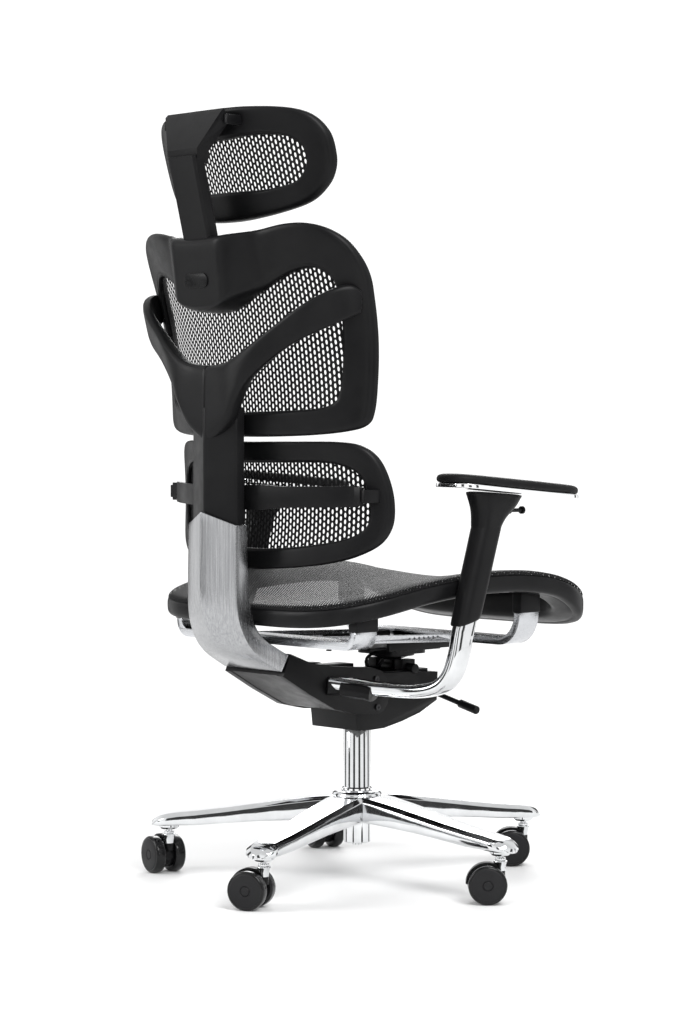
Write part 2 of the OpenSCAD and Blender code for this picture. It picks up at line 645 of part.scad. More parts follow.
// Carrier bar behind the lumbar mesh, from the mast out to the eyes that hold the lumbar frame
module lumbar_carrier() {
    bar = smooth_path([[0, -267], [50, -264], [lug_x * 0.42, -254], [lug_x * 0.7, -233], [lug_x - 18, -206],
        [lug_x - 6, -196]], 3);
    color("#1b1b1d") translate([0, 0, up]) difference() {
        union() {
            for (side = [-1, 1]) {
                mirror([side > 0 ? 0 : 1, 0, 0]) skin([for (i = [0:len(bar) - 1])
                    let (p = bar[i], share = p[0] / lug_x, high = mix(19, 16, step(0.3, 0.5, share)))
                        [for (k = [[-1, -1], [-1, 1], [1, 1], [1, -1]])
                            [p[0], p[1] + 5 * k[1], lumbar_axis[1] - 4 * (1 - share) + k[0] * high]]]);
                translate([side * lug_x - lug_t / 2, lumbar_axis[0], lumbar_axis[1]]) rotate([0, 90, 0])
                    cylinder(r = 9, h = lug_t);
                translate([side * lug_x - lug_t / 2, lumbar_axis[0] - 9, lumbar_axis[1] - 14]) cube([lug_t, 9, 28]);
            }
            translate([-36, mast_front_y, lumbar_axis[1] - 22]) cube([72, 16, 36]);
        }
        cross_bar(lumbar_axis[0], lumbar_axis[1], lumbar_pin_r + run, lug_x + lug_t);
    }
}

// ---- headrest ----
post_l = 232;
head_axis = [-327.5, 1190];
head_pin_r = 5;
head_eye = 66;

module headrest_post() {
    color("#1b1b1d") difference() {
        union() {
            at_post() translate([0, 0, -18]) rounded_box([2 * post_half_w, post_t, post_l], 5);
            translate([0, 0, up]) skin([
                [[-post_half_w, -357, 1128], [post_half_w, -357, 1128], [post_half_w, -335, 1124],
                    [-post_half_w, -335, 1124]],
                [[-post_half_w - 4, -361, 1146], [post_half_w + 4, -361, 1146], [post_half_w + 4, -338, 1142],
                    [-post_half_w - 4, -338, 1142]],
                [[-head_eye, head_axis[0] - 12, 1200], [head_eye, head_axis[0] - 12, 1200],
                    [head_eye, head_axis[0] + 2, 1184], [-head_eye, head_axis[0] + 2, 1184]],
                [[-head_eye, head_axis[0] - 7, 1205], [head_eye, head_axis[0] - 7, 1205],
                    [head_eye, head_axis[0] + 5, 1191], [-head_eye, head_axis[0] + 5, 1191]]]);
            cross_bar(head_axis[0], head_axis[1] + up, 8.5, head_eye);
        }
        cross_bar(head_axis[0], head_axis[1] + up, head_pin_r + run, head_eye + through);
    }
}

head_half = [[0, 0.01], [0.22, 0.02], [0.51, 0.07], [0.76, 0.155], [0.91, 0.3], [0.98, 0.45], [1, 0.6],
    [0.985, 0.77], [0.9, 0.91], [0.74, 0.975], [0.45, 1], [0.22, 1.002], [0, 1]];
head_window_half = [[0, 0.274], [0.22, 0.274], [0.44, 0.28], [0.635, 0.312], [0.735, 0.36], [0.8, 0.455],
    [0.82, 0.547], [0.797, 0.655], [0.716, 0.72], [0.54, 0.745], [0.34, 0.743], [0.17, 0.725], [0, 0.72]];
head_outer = smooth_loop(both_sides(sized(head_half, head_half_w, head_h, head_z)), outline_steps);
head_window = smooth_loop(both_sides(sized(head_window_half, head_half_w, head_h, head_z)), outline_steps);
head_depth = function(x, z) -280 - 0.29 * (z - 1100) + 66 * pow(min(abs(x) / head_half_w, 1), 2.1);

module headrest_frame() {
    color("#1b1b1d") translate([0, 0, up]) {
        upright_frame(head_window, head_outer, frame_t - 2, head_depth);
        for (side = [-1, 1]) {
            translate([side * (head_eye + 4.5) - 4, 0, 0]) side_plate(0, 8,
                [[head_axis[0] - 8, head_axis[1] - 6], [head_axis[0] + 28, head_axis[1] - 12],
                    [head_axis[0] + 28, head_axis[1] + 6], [head_axis[0] - 8, head_axis[1] + 6]]);
        }
        cross_bar(head_axis[0], head_axis[1], head_pin_r, head_eye + 6);
    }
}

module headrest_mesh() {
    color("#2c2c2e") translate([0, 0, up])
        upright_panel(head_window, head_z + head_h / 2, 2.5, head_depth);
}

// ---- seat ----
module seat_carrier() {
    color("#1a1a1c") translate([0, 0, up]) {
        difference() {
            union() {
                cross_bar(seat_axis_y, seat_axis_z, pin_r + 5, 12);
                translate([-12, seat_axis_y - 10, seat_axis_z]) cube([24, 20, 15]);
                translate([0, seat_axis_y, seat_axis_z + 13]) cylinder(r1 = 16, r2 = 32, h = 6);
                translate([0, seat_axis_y, seat_axis_z + 19]) cylinder(r = 37, h = 4);
                translate([0, seat_axis_y, seat_axis_z + 23]) rounded_box([92, 86, 12], 20);
            }
            cross_bar(seat_axis_y, seat_axis_z, pin_r + run, 40);
        }
        translate([-60, -28, plate_z]) cube([120, 172, 4]);
        for (x = [-1, 1]) {
            translate([x * (rail_x - rail_w / 2 - slide_gap - 3) - 3, 0, plate_z - 2]) cube([6, 140, 19]);
            translate([x * 63 - 6, 20, plate_z - 4]) cube([12, 100, 4]);
        }
        translate([-54, -12, plate_z - 6]) cylinder(r = 2.5, h = 7);
        translate([-54, -12, plate_z - 8]) cylinder(r = 4.5, h = 2);
    }
}

cable_r = 2.6;
module release_cable() {
    points = smooth_path([[8, seat_axis_y - 38, 364], [6, seat_axis_y - 48, 362], [2, seat_axis_y - 56, 356],
        [0, seat_axis_y - 57, 347], [2, seat_axis_y - 52, 341], [4, seat_axis_y - 40, 340],
        [4, seat_axis_y - 30, 344], [4, seat_axis_y - 24, 352]], 3);
    color("#151516") translate([0, 0, up]) skin([for (i = [0:len(points) - 1])
        let (t = unit(points[min(i + 1, len(points) - 1)] - points[max(i - 1, 0)]), side = [1, 0, 0],
            a = unit(side - t * (side * t)), b = cross(t, a))
            [for (j = [0:7]) points[i] + cable_r * (a * cos(j * 45) + b * sin(j * 45))]]);
}

// Path of a seat strap in X and Z, from the middle out to its right end
// It ends upright, in a bend as high as the rise to the tip
tip_straight = 2;
function strap_line(z, tip) = let (high = tip - z - tip_straight, wide = 0.8 * high + 4, x = strap_half - 9 - wide)
    concat([[0, z], [x - 30, z]], [for (a = [0:11.25:90]) [x + wide * sin(a), z + high * (1 - cos(a))]],
        [[x + wide, tip]]);
module strap(i, tip) {
    right = strap_line(strap_z[i] + strap_t / 2, tip);
    line = concat([for (k = [len(right) - 1:-1:1]) [-right[k][0], right[k][1]]], right);
    skin([for (k = [0:len(line) - 1])
        let (t = unit(line[min(k + 1, len(line) - 1)] - line[max(k - 1, 0)]), n = [-t[1], t[0]] * strap_t / 2)
            [for (c = [[1, -1], [-1, -1], [-1, 1], [1, 1]])
                [line[k][0] + c[0] * n[0], strap_y[i] + c[1] * strap_len / 2, line[k][1] + c[0] * n[1]]]]);
}
strap_tips = [419, 432];

module seat_subframe() {
    rail_holes = 7;
    rail_start = strap_y[0] + strap_len / 2;
    rail_end = strap_y[1] - strap_len / 2;
    color("silver") translate([0, 0, up]) {
        for (i = [0, 1]) {
            strap(i, strap_tips[i]);
        }
        for (x = [-rail_x, rail_x]) {
            difference() {
                side_plate(x - rail_w / 2, x + rail_w / 2, [[rail_start - 1, strap_z[0]],
                    [rail_end + 1, strap_z[1]], [rail_end + 1, strap_z[1] + strap_t], [rail_start - 1, strap_z[0] + strap_t]]);
                for (k = [0:rail_holes - 1]) {
                    translate([x - rail_w, 40 + 10.5 * k, mix(strap_z[0], strap_z[1], 0.64) + 6.4])
                        rotate([0, 90, 0]) cylinder(r = 2, h = 2 * rail_w);
                }
            }
        }
    }
}

// Right half of the seat outline in X and Y, as shares of half width and length, from the back to the front
seat_half = [[0, 0], [0.45, 0.004], [0.74, 0.035], [0.9, 0.1], [0.975, 0.2], [1, 0.36], [1, 0.56], [0.995, 0.76],
    [0.965, 0.88], [0.87, 0.955], [0.68, 0.99], [0.35, 1], [0, 1]];
seat_outer = smooth_loop(both_sides(sized(seat_half, seat_half_w, seat_l, seat_back_y)), outline_steps);
// Height of the seat's edge along the chair, and of its middle
seat_levels = [[-262, 455], [-200, 466], [-150, 475], [-85, 487], [-20, 495], [40, 499], [100, 500], [160, 497],
    [214, 489], [259, 477], [300, 462], [330, 450]];
function level_at(y) = let (i = [for (k = [0:len(seat_levels) - 2]) if (seat_levels[k + 1][0] >= y) k],
    k = len(i) > 0 ? i[0] : len(seat_levels) - 2, a = seat_levels[k], b = seat_levels[k + 1])
    mix(a[1], b[1], (y - a[0]) / (b[0] - a[0]));
function seat_y_share(y) = seat_back_y + (y - seat_back_y) * 592 / seat_l;
function seat_level(x, y) = level_at(seat_y_share(y))
    - 18 * pow(cos(90 * min(abs(x) / seat_half_w, 1)), 1.5) * pow(sin(180 * min(max((y - seat_back_y) / seat_l, 0), 1)), 0.6);
function seat_drop(y) = 26 * pow(max((y - seat_front_y + 110) / 110, 0), 1.5);

module seat_frame() {
    middle = [0, seat_back_y + seat_l / 2];
    rings = [for (p = seat_outer)
        let (inward = unit(middle - p), q = p + inward * seat_ring_w * 1.12,
            top = seat_level(p[0], p[1]), h = seat_ring_h + 0.6 * seat_drop(p[1]))
            [for (k = [[1, -0.6], [1, 0.5], [0.88, 1], [0.12, 1], [0, 0.6], [0, -0.6], [0.14, -1], [0.9, -1]])
                let (x = mix(p[0], q[0], k[0]), y = mix(p[1], q[1], k[0]))
                    [x, y, top - h / 2 - 1 + k[1] * h / 2 + k[0] * (seat_level(q[0], q[1]) - top) * 0.7
                        - seat_drop(p[1]) * 0.2 * (1 - k[0])]]];
    color("#1b1b1d") translate([0, 0, up]) {
        skin(rings, true);
        for (i = [0, 1], side = [-1, 1]) {
            translate([side * (strap_half - 9) - 10, strap_y[i] - strap_len / 2, strap_tips[i] + 0.2])
                cube([20, strap_len, [22, 34][i]]);
        }
    }
}

module seat_mesh() {
    middle = [0, seat_back_y + seat_l / 2];
    // The weave runs over the top of the ring, just above it
    lift = 3;
    ring = function(level, side) [for (p = seat_outer)
        let (k = level * 0.985, x = p[0] * k, y = middle[1] + (p[1] - middle[1]) * k)
            [x, y, seat_level(x, y) + lift + side * seat_mesh_t / 2 - (level == 1 ? 1.5 : 0)
                - 0.2 * seat_drop(p[1]) * (level == 1 ? 1 : 0)]];
    levels = [0.05, 0.3, 0.55, 0.8, 1];
    color("#2c2c2e") translate([0, 0, up])
        skin(concat([for (l = levels) ring(l, -1)], [for (i = [4:-1:0]) ring(levels[i], 1)]));
}

// ---- armrests, modelled on the sitter's right and mirrored ----
module at_sleeve() {
    translate([arm_x, sleeve_foot[0], sleeve_foot[1] + up]) rotate([-arm_lean, 0, 0]) children();
}

// Rounded rectangle of 16 points, half sizes a and b, at height z, centred on y
function soft_ring(a, b, y, z) = [for (j = [0:15]) let (t = j * 22.5)
    [a * sign(cos(t)) * pow(abs(cos(t)), 0.55), y + b * sign(sin(t)) * pow(abs(sin(t)), 0.55), z]];

module sleeve_outline(a, b) {
    square([2 * a, 2 * b - 14], center = true);
    square([2 * a - 14, 2 * b], center = true);
    for (x = [-1, 1], y = [-1, 1]) {
        translate([x * (a - 7), y * (b - 7)]) circle(7);
    }
}

module arm_sleeve_right() {
    half = sleeve_w / 2;
    color("#1b1b1d") difference() {
        union() {
            at_sleeve() translate([0, 0, -14]) linear_extrude(157) sleeve_outline(half, 23);
            translate([arm_x, 0, up]) skin([soft_ring(half, 24, 21, 562), soft_ring(half + 0.5, 28, 28, 585),
                soft_ring(half + 3, 42, 40, 605), soft_ring(half + 5, 51, 41.5, 620), soft_ring(half + 7, 58, 42, 630)]);
        }
        at_sleeve() translate([0, 0, -20]) linear_extrude(168) square([bar_t + 1.2, bar_w + 1.2], center = true);
        // Slanted lower end, the level top under the pad plate, and the slot of the release lever
        translate([arm_x - 50, sleeve_foot[0], sleeve_foot[1] + up]) rotate([13, 0, 0]) translate([0, -80, -60])
            cube([100, 160, 60]);
        translate([arm_x, pad_y, pad_z + up]) rotate([pad_tilt, 0, 0]) translate([-60, -200, -4.3]) cube([120, 400, 40]);
        translate([arm_x - 7, 56, 590 + up]) cube([14, 50, 17]);
    }
    color("#1b1b1d") translate([arm_x - 8, button_pos[0] + 5, button_pos[1] + up]) rotate([0, 90, 0])
        cylinder(r = button_pin_r, h = 16);
}

button_pos = [66, 598.5];
button_pin_r = 1.6;
module arm_button_right() {
    color("#151516") translate([arm_x, button_pos[0] + 5, button_pos[1] + up]) difference() {
        union() {
            rotate([0, 90, 0]) cylinder(r = 5, h = 12, center = true);
            rotate([-90, 0, 0]) cylinder(r = 3, h = 34);
            translate([0, 31, 0]) rotate([-90, 0, 0]) cylinder(r = 6, h = 4);
        }
        rotate([0, 90, 0]) cylinder(r = button_pin_r + run, h = 14, center = true);
    }
}

module at_pad() {
    translate([arm_x, pad_y, pad_z + up]) rotate([pad_tilt, 0, 0]) children();
}

module arm_plate_right() {
    color("silver") at_pad() translate([0, 0, -4]) rounded_box([pad_w - 8, pad_l - 12, 7], 30);
}

module arm_pad_right() {
    a = pad_w / 2;
    b = pad_l / 2;
    color("#1a1a1b") at_pad() skin([for (k = [[-9, 3], [-2, 4.5], [0, 8], [-1, 0.75 * pad_t], [-6, pad_t], [-16, pad_t + 2]])
        [for (j = [0:23]) let (t = j * 15)
            [(a + k[0]) * sign(cos(t)) * pow(abs(cos(t)), 0.7), (b + k[0]) * sign(sin(t)) * pow(abs(sin(t)), 0.7), k[1]]]]);
}

module mirrored() {
    mirror([1, 0, 0]) children();
}

base_star();
column_tube();
column_bush();
thrust_bearing();
rod_clip();
caster_stems();
piston_rod();
caster_hood(0);  // caster_hood_1
caster_hood(1);  // caster_hood_2
caster_hood(2);  // caster_hood_3
caster_hood(3);  // caster_hood_4
caster_hood(4);  // caster_hood_5
wheel(0, 1);  // wheel_1_left
wheel(0, -1);  // wheel_1_right
wheel(1, 1);  // wheel_2_left
wheel(1, -1);  // wheel_2_right
wheel(2, 1);  // wheel_3_left
wheel(2, -1);  // wheel_3_right
wheel(3, 1);  // wheel_4_left
wheel(3, -1);  // wheel_4_right
wheel(4, 1);  // wheel_5_left
wheel(4, -1);  // wheel_5_right
gas_cylinder();
mech_housing();
mech_cover();
recline_pin();
recline_springs();
seat_shaft();
lift_lever_rod();
lift_lever_grip();
back_spine();
carrier_bracket();
bracket_screws();
mirrored() arm_bar_right();  // arm_bar_left
arm_bar_right();
back_yoke();
upper_frame();
upper_mesh();
back_badge();
lumbar_carrier();
lumbar_frame();
lumbar_mesh();
headrest_post();
headrest_frame();
headrest_mesh();
seat_carrier();
release_cable();
seat_subframe();
seat_frame();
seat_mesh();
mirrored() arm_sleeve_right();  // arm_sleeve_left
arm_sleeve_right();
mirrored() arm_button_right();  // arm_button_left
arm_button_right();
mirrored() arm_plate_right();  // arm_plate_left
arm_plate_right();
mirrored() arm_pad_right();  // arm_pad_left
arm_pad_right();
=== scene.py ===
"""Looks of a swivel office chair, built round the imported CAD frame. Metres, +Y forward, +Z up."""
import json
import math
import bpy
import bmesh
from mathutils import Vector, Matrix


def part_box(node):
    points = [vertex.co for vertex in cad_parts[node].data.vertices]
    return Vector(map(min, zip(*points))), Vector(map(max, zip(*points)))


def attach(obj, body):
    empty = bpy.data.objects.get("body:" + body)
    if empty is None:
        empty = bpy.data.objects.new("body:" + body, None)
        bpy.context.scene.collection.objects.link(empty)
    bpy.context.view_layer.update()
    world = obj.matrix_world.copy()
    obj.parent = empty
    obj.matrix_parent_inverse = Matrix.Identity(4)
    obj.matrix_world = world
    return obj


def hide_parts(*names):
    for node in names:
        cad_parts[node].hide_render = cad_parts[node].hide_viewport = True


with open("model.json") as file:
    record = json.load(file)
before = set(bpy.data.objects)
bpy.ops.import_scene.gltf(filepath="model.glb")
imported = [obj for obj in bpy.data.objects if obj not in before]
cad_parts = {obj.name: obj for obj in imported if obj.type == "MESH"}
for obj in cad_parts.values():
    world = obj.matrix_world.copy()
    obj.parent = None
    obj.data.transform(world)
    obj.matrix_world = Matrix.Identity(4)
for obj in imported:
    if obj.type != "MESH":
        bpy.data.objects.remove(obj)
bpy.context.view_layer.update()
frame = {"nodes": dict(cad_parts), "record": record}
MM = 0.001
ARM_ANGLES = (-142, -70, 2, 74, 146)
TRAIL_ANGLES = (169, 207, 227, 227, 162)
STEM_CIRCLE = 310
NODE_BODY = {n: b for b, ns in frame["record"]["behaviour"]["bodies"].items() for n in ns}


# ---------------------------------------------------------------- camera
def add_camera():
    azimuth, yaw, pitch = math.radians(47.0), math.radians(-0.33), math.radians(1.95)
    back = Vector((math.sin(azimuth), -math.cos(azimuth), 0))
    right = Vector((math.cos(azimuth), math.sin(azimuth), 0))
    level = right * math.sin(yaw) - back * math.cos(yaw)
    ahead = level * math.cos(pitch) - Vector((0, 0, 1)) * math.sin(pitch)
    data = bpy.data.cameras.new("camera")
    data.lens, data.sensor_width, data.sensor_fit = 94.92, 36.0, "AUTO"
    data.clip_end = 50
    cam = bpy.data.objects.new("camera", data)
    bpy.context.scene.collection.objects.link(cam)
    cam.location = back * 4.33 + Vector((0, 0, 0.7385))
    cam.rotation_mode = "QUATERNION"
    cam.rotation_quaternion = ahead.to_track_quat("-Z", "Y")
    bpy.context.scene.camera = cam


# ---------------------------------------------------------------- materials
class Nodes:
    def __init__(self, name):
        self.mat = bpy.data.materials.new(name)
        self.mat.use_nodes = True
        self.tree = self.mat.node_tree
        self.bsdf = self.tree.nodes["Principled BSDF"]
        self.out = self.tree.nodes["Material Output"]
        self.coords = self.tree.nodes.new("ShaderNodeTexCoord").outputs["Object"]

    def link(self, a, b):
        self.tree.links.new(a, b)

    def set(self, **values):
        for key, value in values.items():
            self.bsdf.inputs[key.replace("_", " ")].default_value = value

    def noise(self, scale, detail=3.0, rough=0.55, stretch=(1, 1, 1)):
        mapping = self.tree.nodes.new("ShaderNodeMapping")
        mapping.inputs["Scale"].default_value = stretch
        self.link(self.coords, mapping.inputs["Vector"])
        n = self.tree.nodes.new("ShaderNodeTexNoise")
        n.inputs["Scale"].default_value = scale
        n.inputs["Detail"].default_value = detail
        n.inputs["Roughness"].default_value = rough
        self.link(mapping.outputs[0], n.inputs["Vector"])
        return n.outputs["Fac"]

    def spread(self, fac, low, high):
        r = self.tree.nodes.new("ShaderNodeMapRange")
        r.inputs["From Min"].default_value = 0.3
        r.inputs["From Max"].default_value = 0.7
        r.inputs["To Min"].default_value = low
        r.inputs["To Max"].default_value = high
        self.link(fac, r.inputs["Value"])
        return r.outputs["Result"]

    def tint(self, fac, a, b):
        r = self.tree.nodes.new("ShaderNodeMix")
        r.data_type = "RGBA"
        r.inputs[6].default_value = (*a, 1)
        r.inputs[7].default_value = (*b, 1)
        self.link(fac, r.inputs[0])
        self.link(r.outputs[2], self.bsdf.inputs["Base Color"])

    def bump(self, height, distance, strength=1.0):
        b = self.tree.nodes.new("ShaderNodeBump")
        b.inputs["Distance"].default_value = distance
        b.inputs["Strength"].default_value = strength
        self.link(height, b.inputs["Height"])
        self.link(b.outputs["Normal"], self.bsdf.inputs["Normal"])
        return b

    def math(self, op, a, b=0.0, c=None):
        n = self.tree.nodes.new("ShaderNodeMath")
        n.operation = op
        for i, value in enumerate((a, b) if c is None else (a, b, c)):
            if isinstance(value, (int, float)):
                n.inputs[i].default_value = value
            else:
                self.link(value, n.inputs[i])
        return n.outputs[0]


def plastic(name, dark, light, rough, grain=1500, depth=0.00007, gloss=0.14):
    m = Nodes(name)
    m.tint(m.spread(m.noise(9, 4), 0, 1), dark, light)
    m.link(m.spread(m.noise(45, 4), rough - 0.05, rough + 0.06), m.bsdf.inputs["Roughness"])
    m.bump(m.noise(grain, 2, 0.6), depth, 0.6)
    m.set(Specular_IOR_Level=gloss)
    return m.mat


def metal(name, dark, light, rough, stretch=(1, 1, 1), scale=700, depth=0.00003, spread=0.05):
    m = Nodes(name)
    m.set(Metallic=1.0)
    m.tint(m.spread(m.noise(scale * 0.5, 3, 0.6, stretch), 0, 1), dark, light)
    m.link(m.spread(m.noise(scale, 4, 0.6, stretch), rough - spread, rough + spread), m.bsdf.inputs["Roughness"])
    m.bump(m.noise(scale, 3, 0.6, stretch), depth, 0.5)
    return m.mat


def weave(name, pitch, across="Z", turn=0.0, hole=(0.30, 0.34), color=((0.018, 0.018, 0.019), (0.05, 0.05, 0.052))):
    """Elastic mesh: rows of oval holes, each row half a pitch off its neighbours."""
    m = Nodes(name)
    split = m.tree.nodes.new("ShaderNodeSeparateXYZ")
    m.link(m.coords, split.inputs[0])
    x, y = split.outputs["X"], split.outputs[across]
    if turn:
        c, s = math.cos(turn), math.sin(turn)
        x, y = (m.math("ADD", m.math("MULTIPLY", x, c), m.math("MULTIPLY", y, s)),
                m.math("SUBTRACT", m.math("MULTIPLY", y, c), m.math("MULTIPLY", x, s)))
    u = m.math("DIVIDE", x, pitch[0] * MM)
    odd = m.math("MULTIPLY", m.math("MODULO", m.math("ABSOLUTE", m.math("FLOOR", u)), 2.0), 0.5)
    v = m.math("ADD", m.math("DIVIDE", y, pitch[1] * MM), odd)
    fu = m.math("SUBTRACT", m.math("FRACT", u), 0.5)
    fv = m.math("SUBTRACT", m.math("FRACT", v), 0.5)
    du = m.math("DIVIDE", fu, hole[0])
    dv = m.math("DIVIDE", fv, hole[1])
    dist = m.math("SQRT", m.math("ADD", m.math("MULTIPLY", du, du), m.math("MULTIPLY", dv, dv)))
    edge = m.tree.nodes.new("ShaderNodeMapRange")
    edge.interpolation_type = "SMOOTHSTEP"
    edge.inputs["From Min"].default_value = 0.85
    edge.inputs["From Max"].default_value = 1.05
    m.link(dist, edge.inputs["Value"])
    strands = m.math("SINE", m.math("MULTIPLY", u, 2 * math.pi * 4))
    yarn = m.math("ADD", m.math("MULTIPLY", strands, 0.25), m.math("MINIMUM", dist, 1.6))
    fibre = m.math("ADD", m.math("MULTIPLY", m.noise(160, 3), 0.6), m.math("MULTIPLY", strands, 0.12))
    m.tint(m.spread(fibre, 0, 1), *color)
    m.set(Roughness=0.62, Specular_IOR_Level=0.1, Sheen_Weight=0.03, Sheen_Roughness=0.45)
    m.bump(yarn, 0.0006, 0.8)
    clear = m.tree.nodes.new("ShaderNodeBsdfTransparent")
    mix = m.tree.nodes.new("ShaderNodeMixShader")
    m.link(edge.outputs["Result"], mix.inputs[0])
    m.link(clear.outputs[0], mix.inputs[1])
    m.link(m.bsdf.outputs[0], mix.inputs[2])
    m.link(mix.outputs[0], m.out.inputs["Surface"])
    return m.mat


BLACK = plastic("moulded_black", (0.0045, 0.0045, 0.005), (0.0085, 0.0085, 0.009), 0.36)
BLACK_FINE = plastic("moulded_black_fine", (0.0035, 0.0035, 0.004), (0.007, 0.007, 0.0075), 0.28, 2200, 0.00004)
PAD = plastic("soft_black", (0.005, 0.005, 0.0055), (0.0095, 0.0095, 0.010), 0.55, 1100, 0.00014)
COATED = plastic("black_coated_metal", (0.005, 0.005, 0.0055), (0.010, 0.010, 0.0105), 0.33, 1300, 0.00008)
TREAD = plastic("glossy_tread", (0.003, 0.003, 0.0035), (0.006, 0.006, 0.0065), 0.16, 900, 0.00002, 0.30)
FACE = plastic("wheel_face", (0.012, 0.012, 0.013), (0.020, 0.020, 0.021), 0.42, 1500, 0.00006)
ALU = metal("polished_aluminium", (0.30, 0.305, 0.315), (0.46, 0.465, 0.475), 0.24, (1, 1, 0.02), 900, 0.00002)
ALU_X = metal("brushed_aluminium", (0.50, 0.51, 0.53), (0.66, 0.67, 0.69), 0.25, (0.02, 1, 1), 900, 0.00002)
BRIGHT = metal("bright_edge", (0.86, 0.87, 0.88), (0.93, 0.93, 0.94), 0.10, (1, 1, 1), 300, 0.00001, 0.03)
CHROME = metal("chrome", (0.66, 0.67, 0.68), (0.76, 0.77, 0.78), 0.07, (1, 1, 1), 60, 0.00001, 0.03)
STEEL = metal("ground_steel", (0.45, 0.45, 0.46), (0.60, 0.60, 0.61), 0.28, (1, 1, 1), 800, 0.00003)
SCREW = metal("black_screw", (0.03, 0.03, 0.032), (0.06, 0.06, 0.062), 0.35, (1, 1, 1), 800, 0.00003)
MESH_BACK = weave("mesh_back", (6.2, 10.0), "Z", 0.0, (0.25, 0.38), ((0.006, 0.006, 0.0065), (0.014, 0.014, 0.015)))
MESH_SEAT = weave("mesh_seat", (4.2, 5.6), "Y", math.radians(38), (0.17, 0.20),
                  ((0.005, 0.005, 0.0055), (0.011, 0.011, 0.012)))


# ---------------------------------------------------------------- mesh tools
def finished(obj, material, body, *nodes, slot=None, sharp=35):
    obj.data.materials.clear()
    obj.data.materials.append(material)
    obj.data.polygons.foreach_set("use_smooth", [True] * len(obj.data.polygons))
    if sharp:
        obj.data.set_sharp_from_angle(angle=math.radians(sharp))
    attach(obj, body)
    if nodes:
        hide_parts(*nodes)
    return obj


def made(name, verts, faces, merge=0.0):
    mesh = bpy.data.meshes.new(name)
    mesh.from_pydata([tuple(v) for v in verts], [], faces)
    obj = bpy.data.objects.new(name, mesh)
    bpy.context.scene.collection.objects.link(obj)
    bm = bmesh.new()
    bm.from_mesh(mesh)
    if merge:
        bmesh.ops.remove_doubles(bm, verts=bm.verts, dist=merge)
    bmesh.ops.recalc_face_normals(bm, faces=bm.faces)
    bm.to_mesh(mesh)
    bm.free()
    return obj


def baked(obj):
    bpy.context.view_layer.update()
    shown = obj.evaluated_get(bpy.context.evaluated_depsgraph_get())
    mesh = bpy.data.meshes.new_from_object(shown)
    obj.modifiers.clear()
    obj.data = mesh
    return obj


def softened(obj, width, segments=2, angle=32, levels=0):
    if width:
        b = obj.modifiers.new("bevel", "BEVEL")
        b.width, b.segments = width * MM, segments
        b.limit_method, b.angle_limit = "ANGLE", math.radians(angle)
        b.use_clamp_overlap = True
        b.harden_normals = False
    if levels:
        s = obj.modifiers.new("subdivision", "SUBSURF")
        s.levels = s.render_levels = levels
    return baked(obj)


def loft(name, rings, closed=False, caps=True, levels=0, merge=0.0):
    """Quads over rings of points in millimetres; each ring is a closed loop."""
    n, m = len(rings), len(rings[0])
    verts = [Vector(p) * MM for r in rings for p in r]
    faces = []
    for i in range(n if closed else n - 1):
        for j in range(m):
            k = ((i + 1) % n) * m
            faces.append((i * m + j, i * m + (j + 1) % m, k + (j + 1) % m, k + j))
    if caps and not closed:
        faces.append(tuple(reversed(range(m))))
        faces.append(tuple((n - 1) * m + j for j in range(m)))
    obj = made(name, verts, faces, merge)
    return softened(obj, 0, levels=levels) if levels else obj


def lathe(name, profile, segments=64, at=(0, 0, 0), turn=None):
    """A turned form round Z from (radius, height) pairs in millimetres, open where the profile leaves the axis."""
    rings = []
    for s in range(segments):
        a = 2 * math.pi * s / segments
        rings.append([(r * math.cos(a), r * math.sin(a), z) for r, z in profile])
    n, m = segments, len(profile)
    verts = [Vector(p) * MM for r in rings for p in r]
    faces = [(i * m + j, i * m + j + 1, ((i + 1) % n) * m + j + 1, ((i + 1) % n) * m + j)
             for i in range(n) for j in range(m - 1)]
    obj = made(name, verts, faces, 1e-6)
    place = Matrix.Translation(Vector(at) * MM)
    if turn is not None:
        place = place @ turn
    obj.data.transform(place)
    return obj


def joined(name, objs):
    """One object from several that share a material."""
    bm = bmesh.new()
    for o in objs:
        bm.from_mesh(o.data)
    mesh = bpy.data.meshes.new(name)
    bm.to_mesh(mesh)
    bm.free()
    for o in objs:
        bpy.data.objects.remove(o)
    obj = bpy.data.objects.new(name, mesh)
    bpy.context.scene.collection.objects.link(obj)
    return obj


def refined(node, material, width=1.2, segments=2, slot=None, angle=30, name=None):
    """A bevelled copy of a CAD node."""
    source = frame["nodes"][node]
    obj = bpy.data.objects.new(name or node + "_look", source.data.copy())
    bpy.context.scene.collection.objects.link(obj)
    obj.data.materials.clear()
    if obj.data.has_custom_normals:
        bpy.context.view_layer.objects.active = obj
        obj.select_set(True)
        bpy.ops.mesh.customdata_custom_splitnormals_clear()
        obj.select_set(False)
    bm = bmesh.new()
    bm.from_mesh(obj.data)
    for layer in list(bm.loops.layers.uv):
        bm.loops.layers.uv.remove(layer)
    bmesh.ops.remove_doubles(bm, verts=bm.verts, dist=2e-6)
    bmesh.ops.dissolve_limit(bm, angle_limit=math.radians(0.6), verts=bm.verts, edges=bm.edges)
    for e in bm.edges:
        e.smooth = True
    bm.to_mesh(obj.data)
    bm.free()
    softened(obj, width, segments, angle)
    return finished(obj, material, NODE_BODY[node], node, slot=slot)


def mix(a, b, t):
    return a + (b - a) * t


def curve_point(a, b, c, d, t):
    return 0.5 * (2 * b + (c - a) * t + (2 * a - 5 * b + 4 * c - d) * t * t + (3 * b - a - 3 * c + d) * t ** 3)


def smooth_loop(points, steps):
    p = [Vector(q) for q in points]
    n = len(p)
    return [curve_point(p[i - 1], p[i], p[(i + 1) % n], p[(i + 2) % n], s / steps)
            for i in range(n) for s in range(steps)]


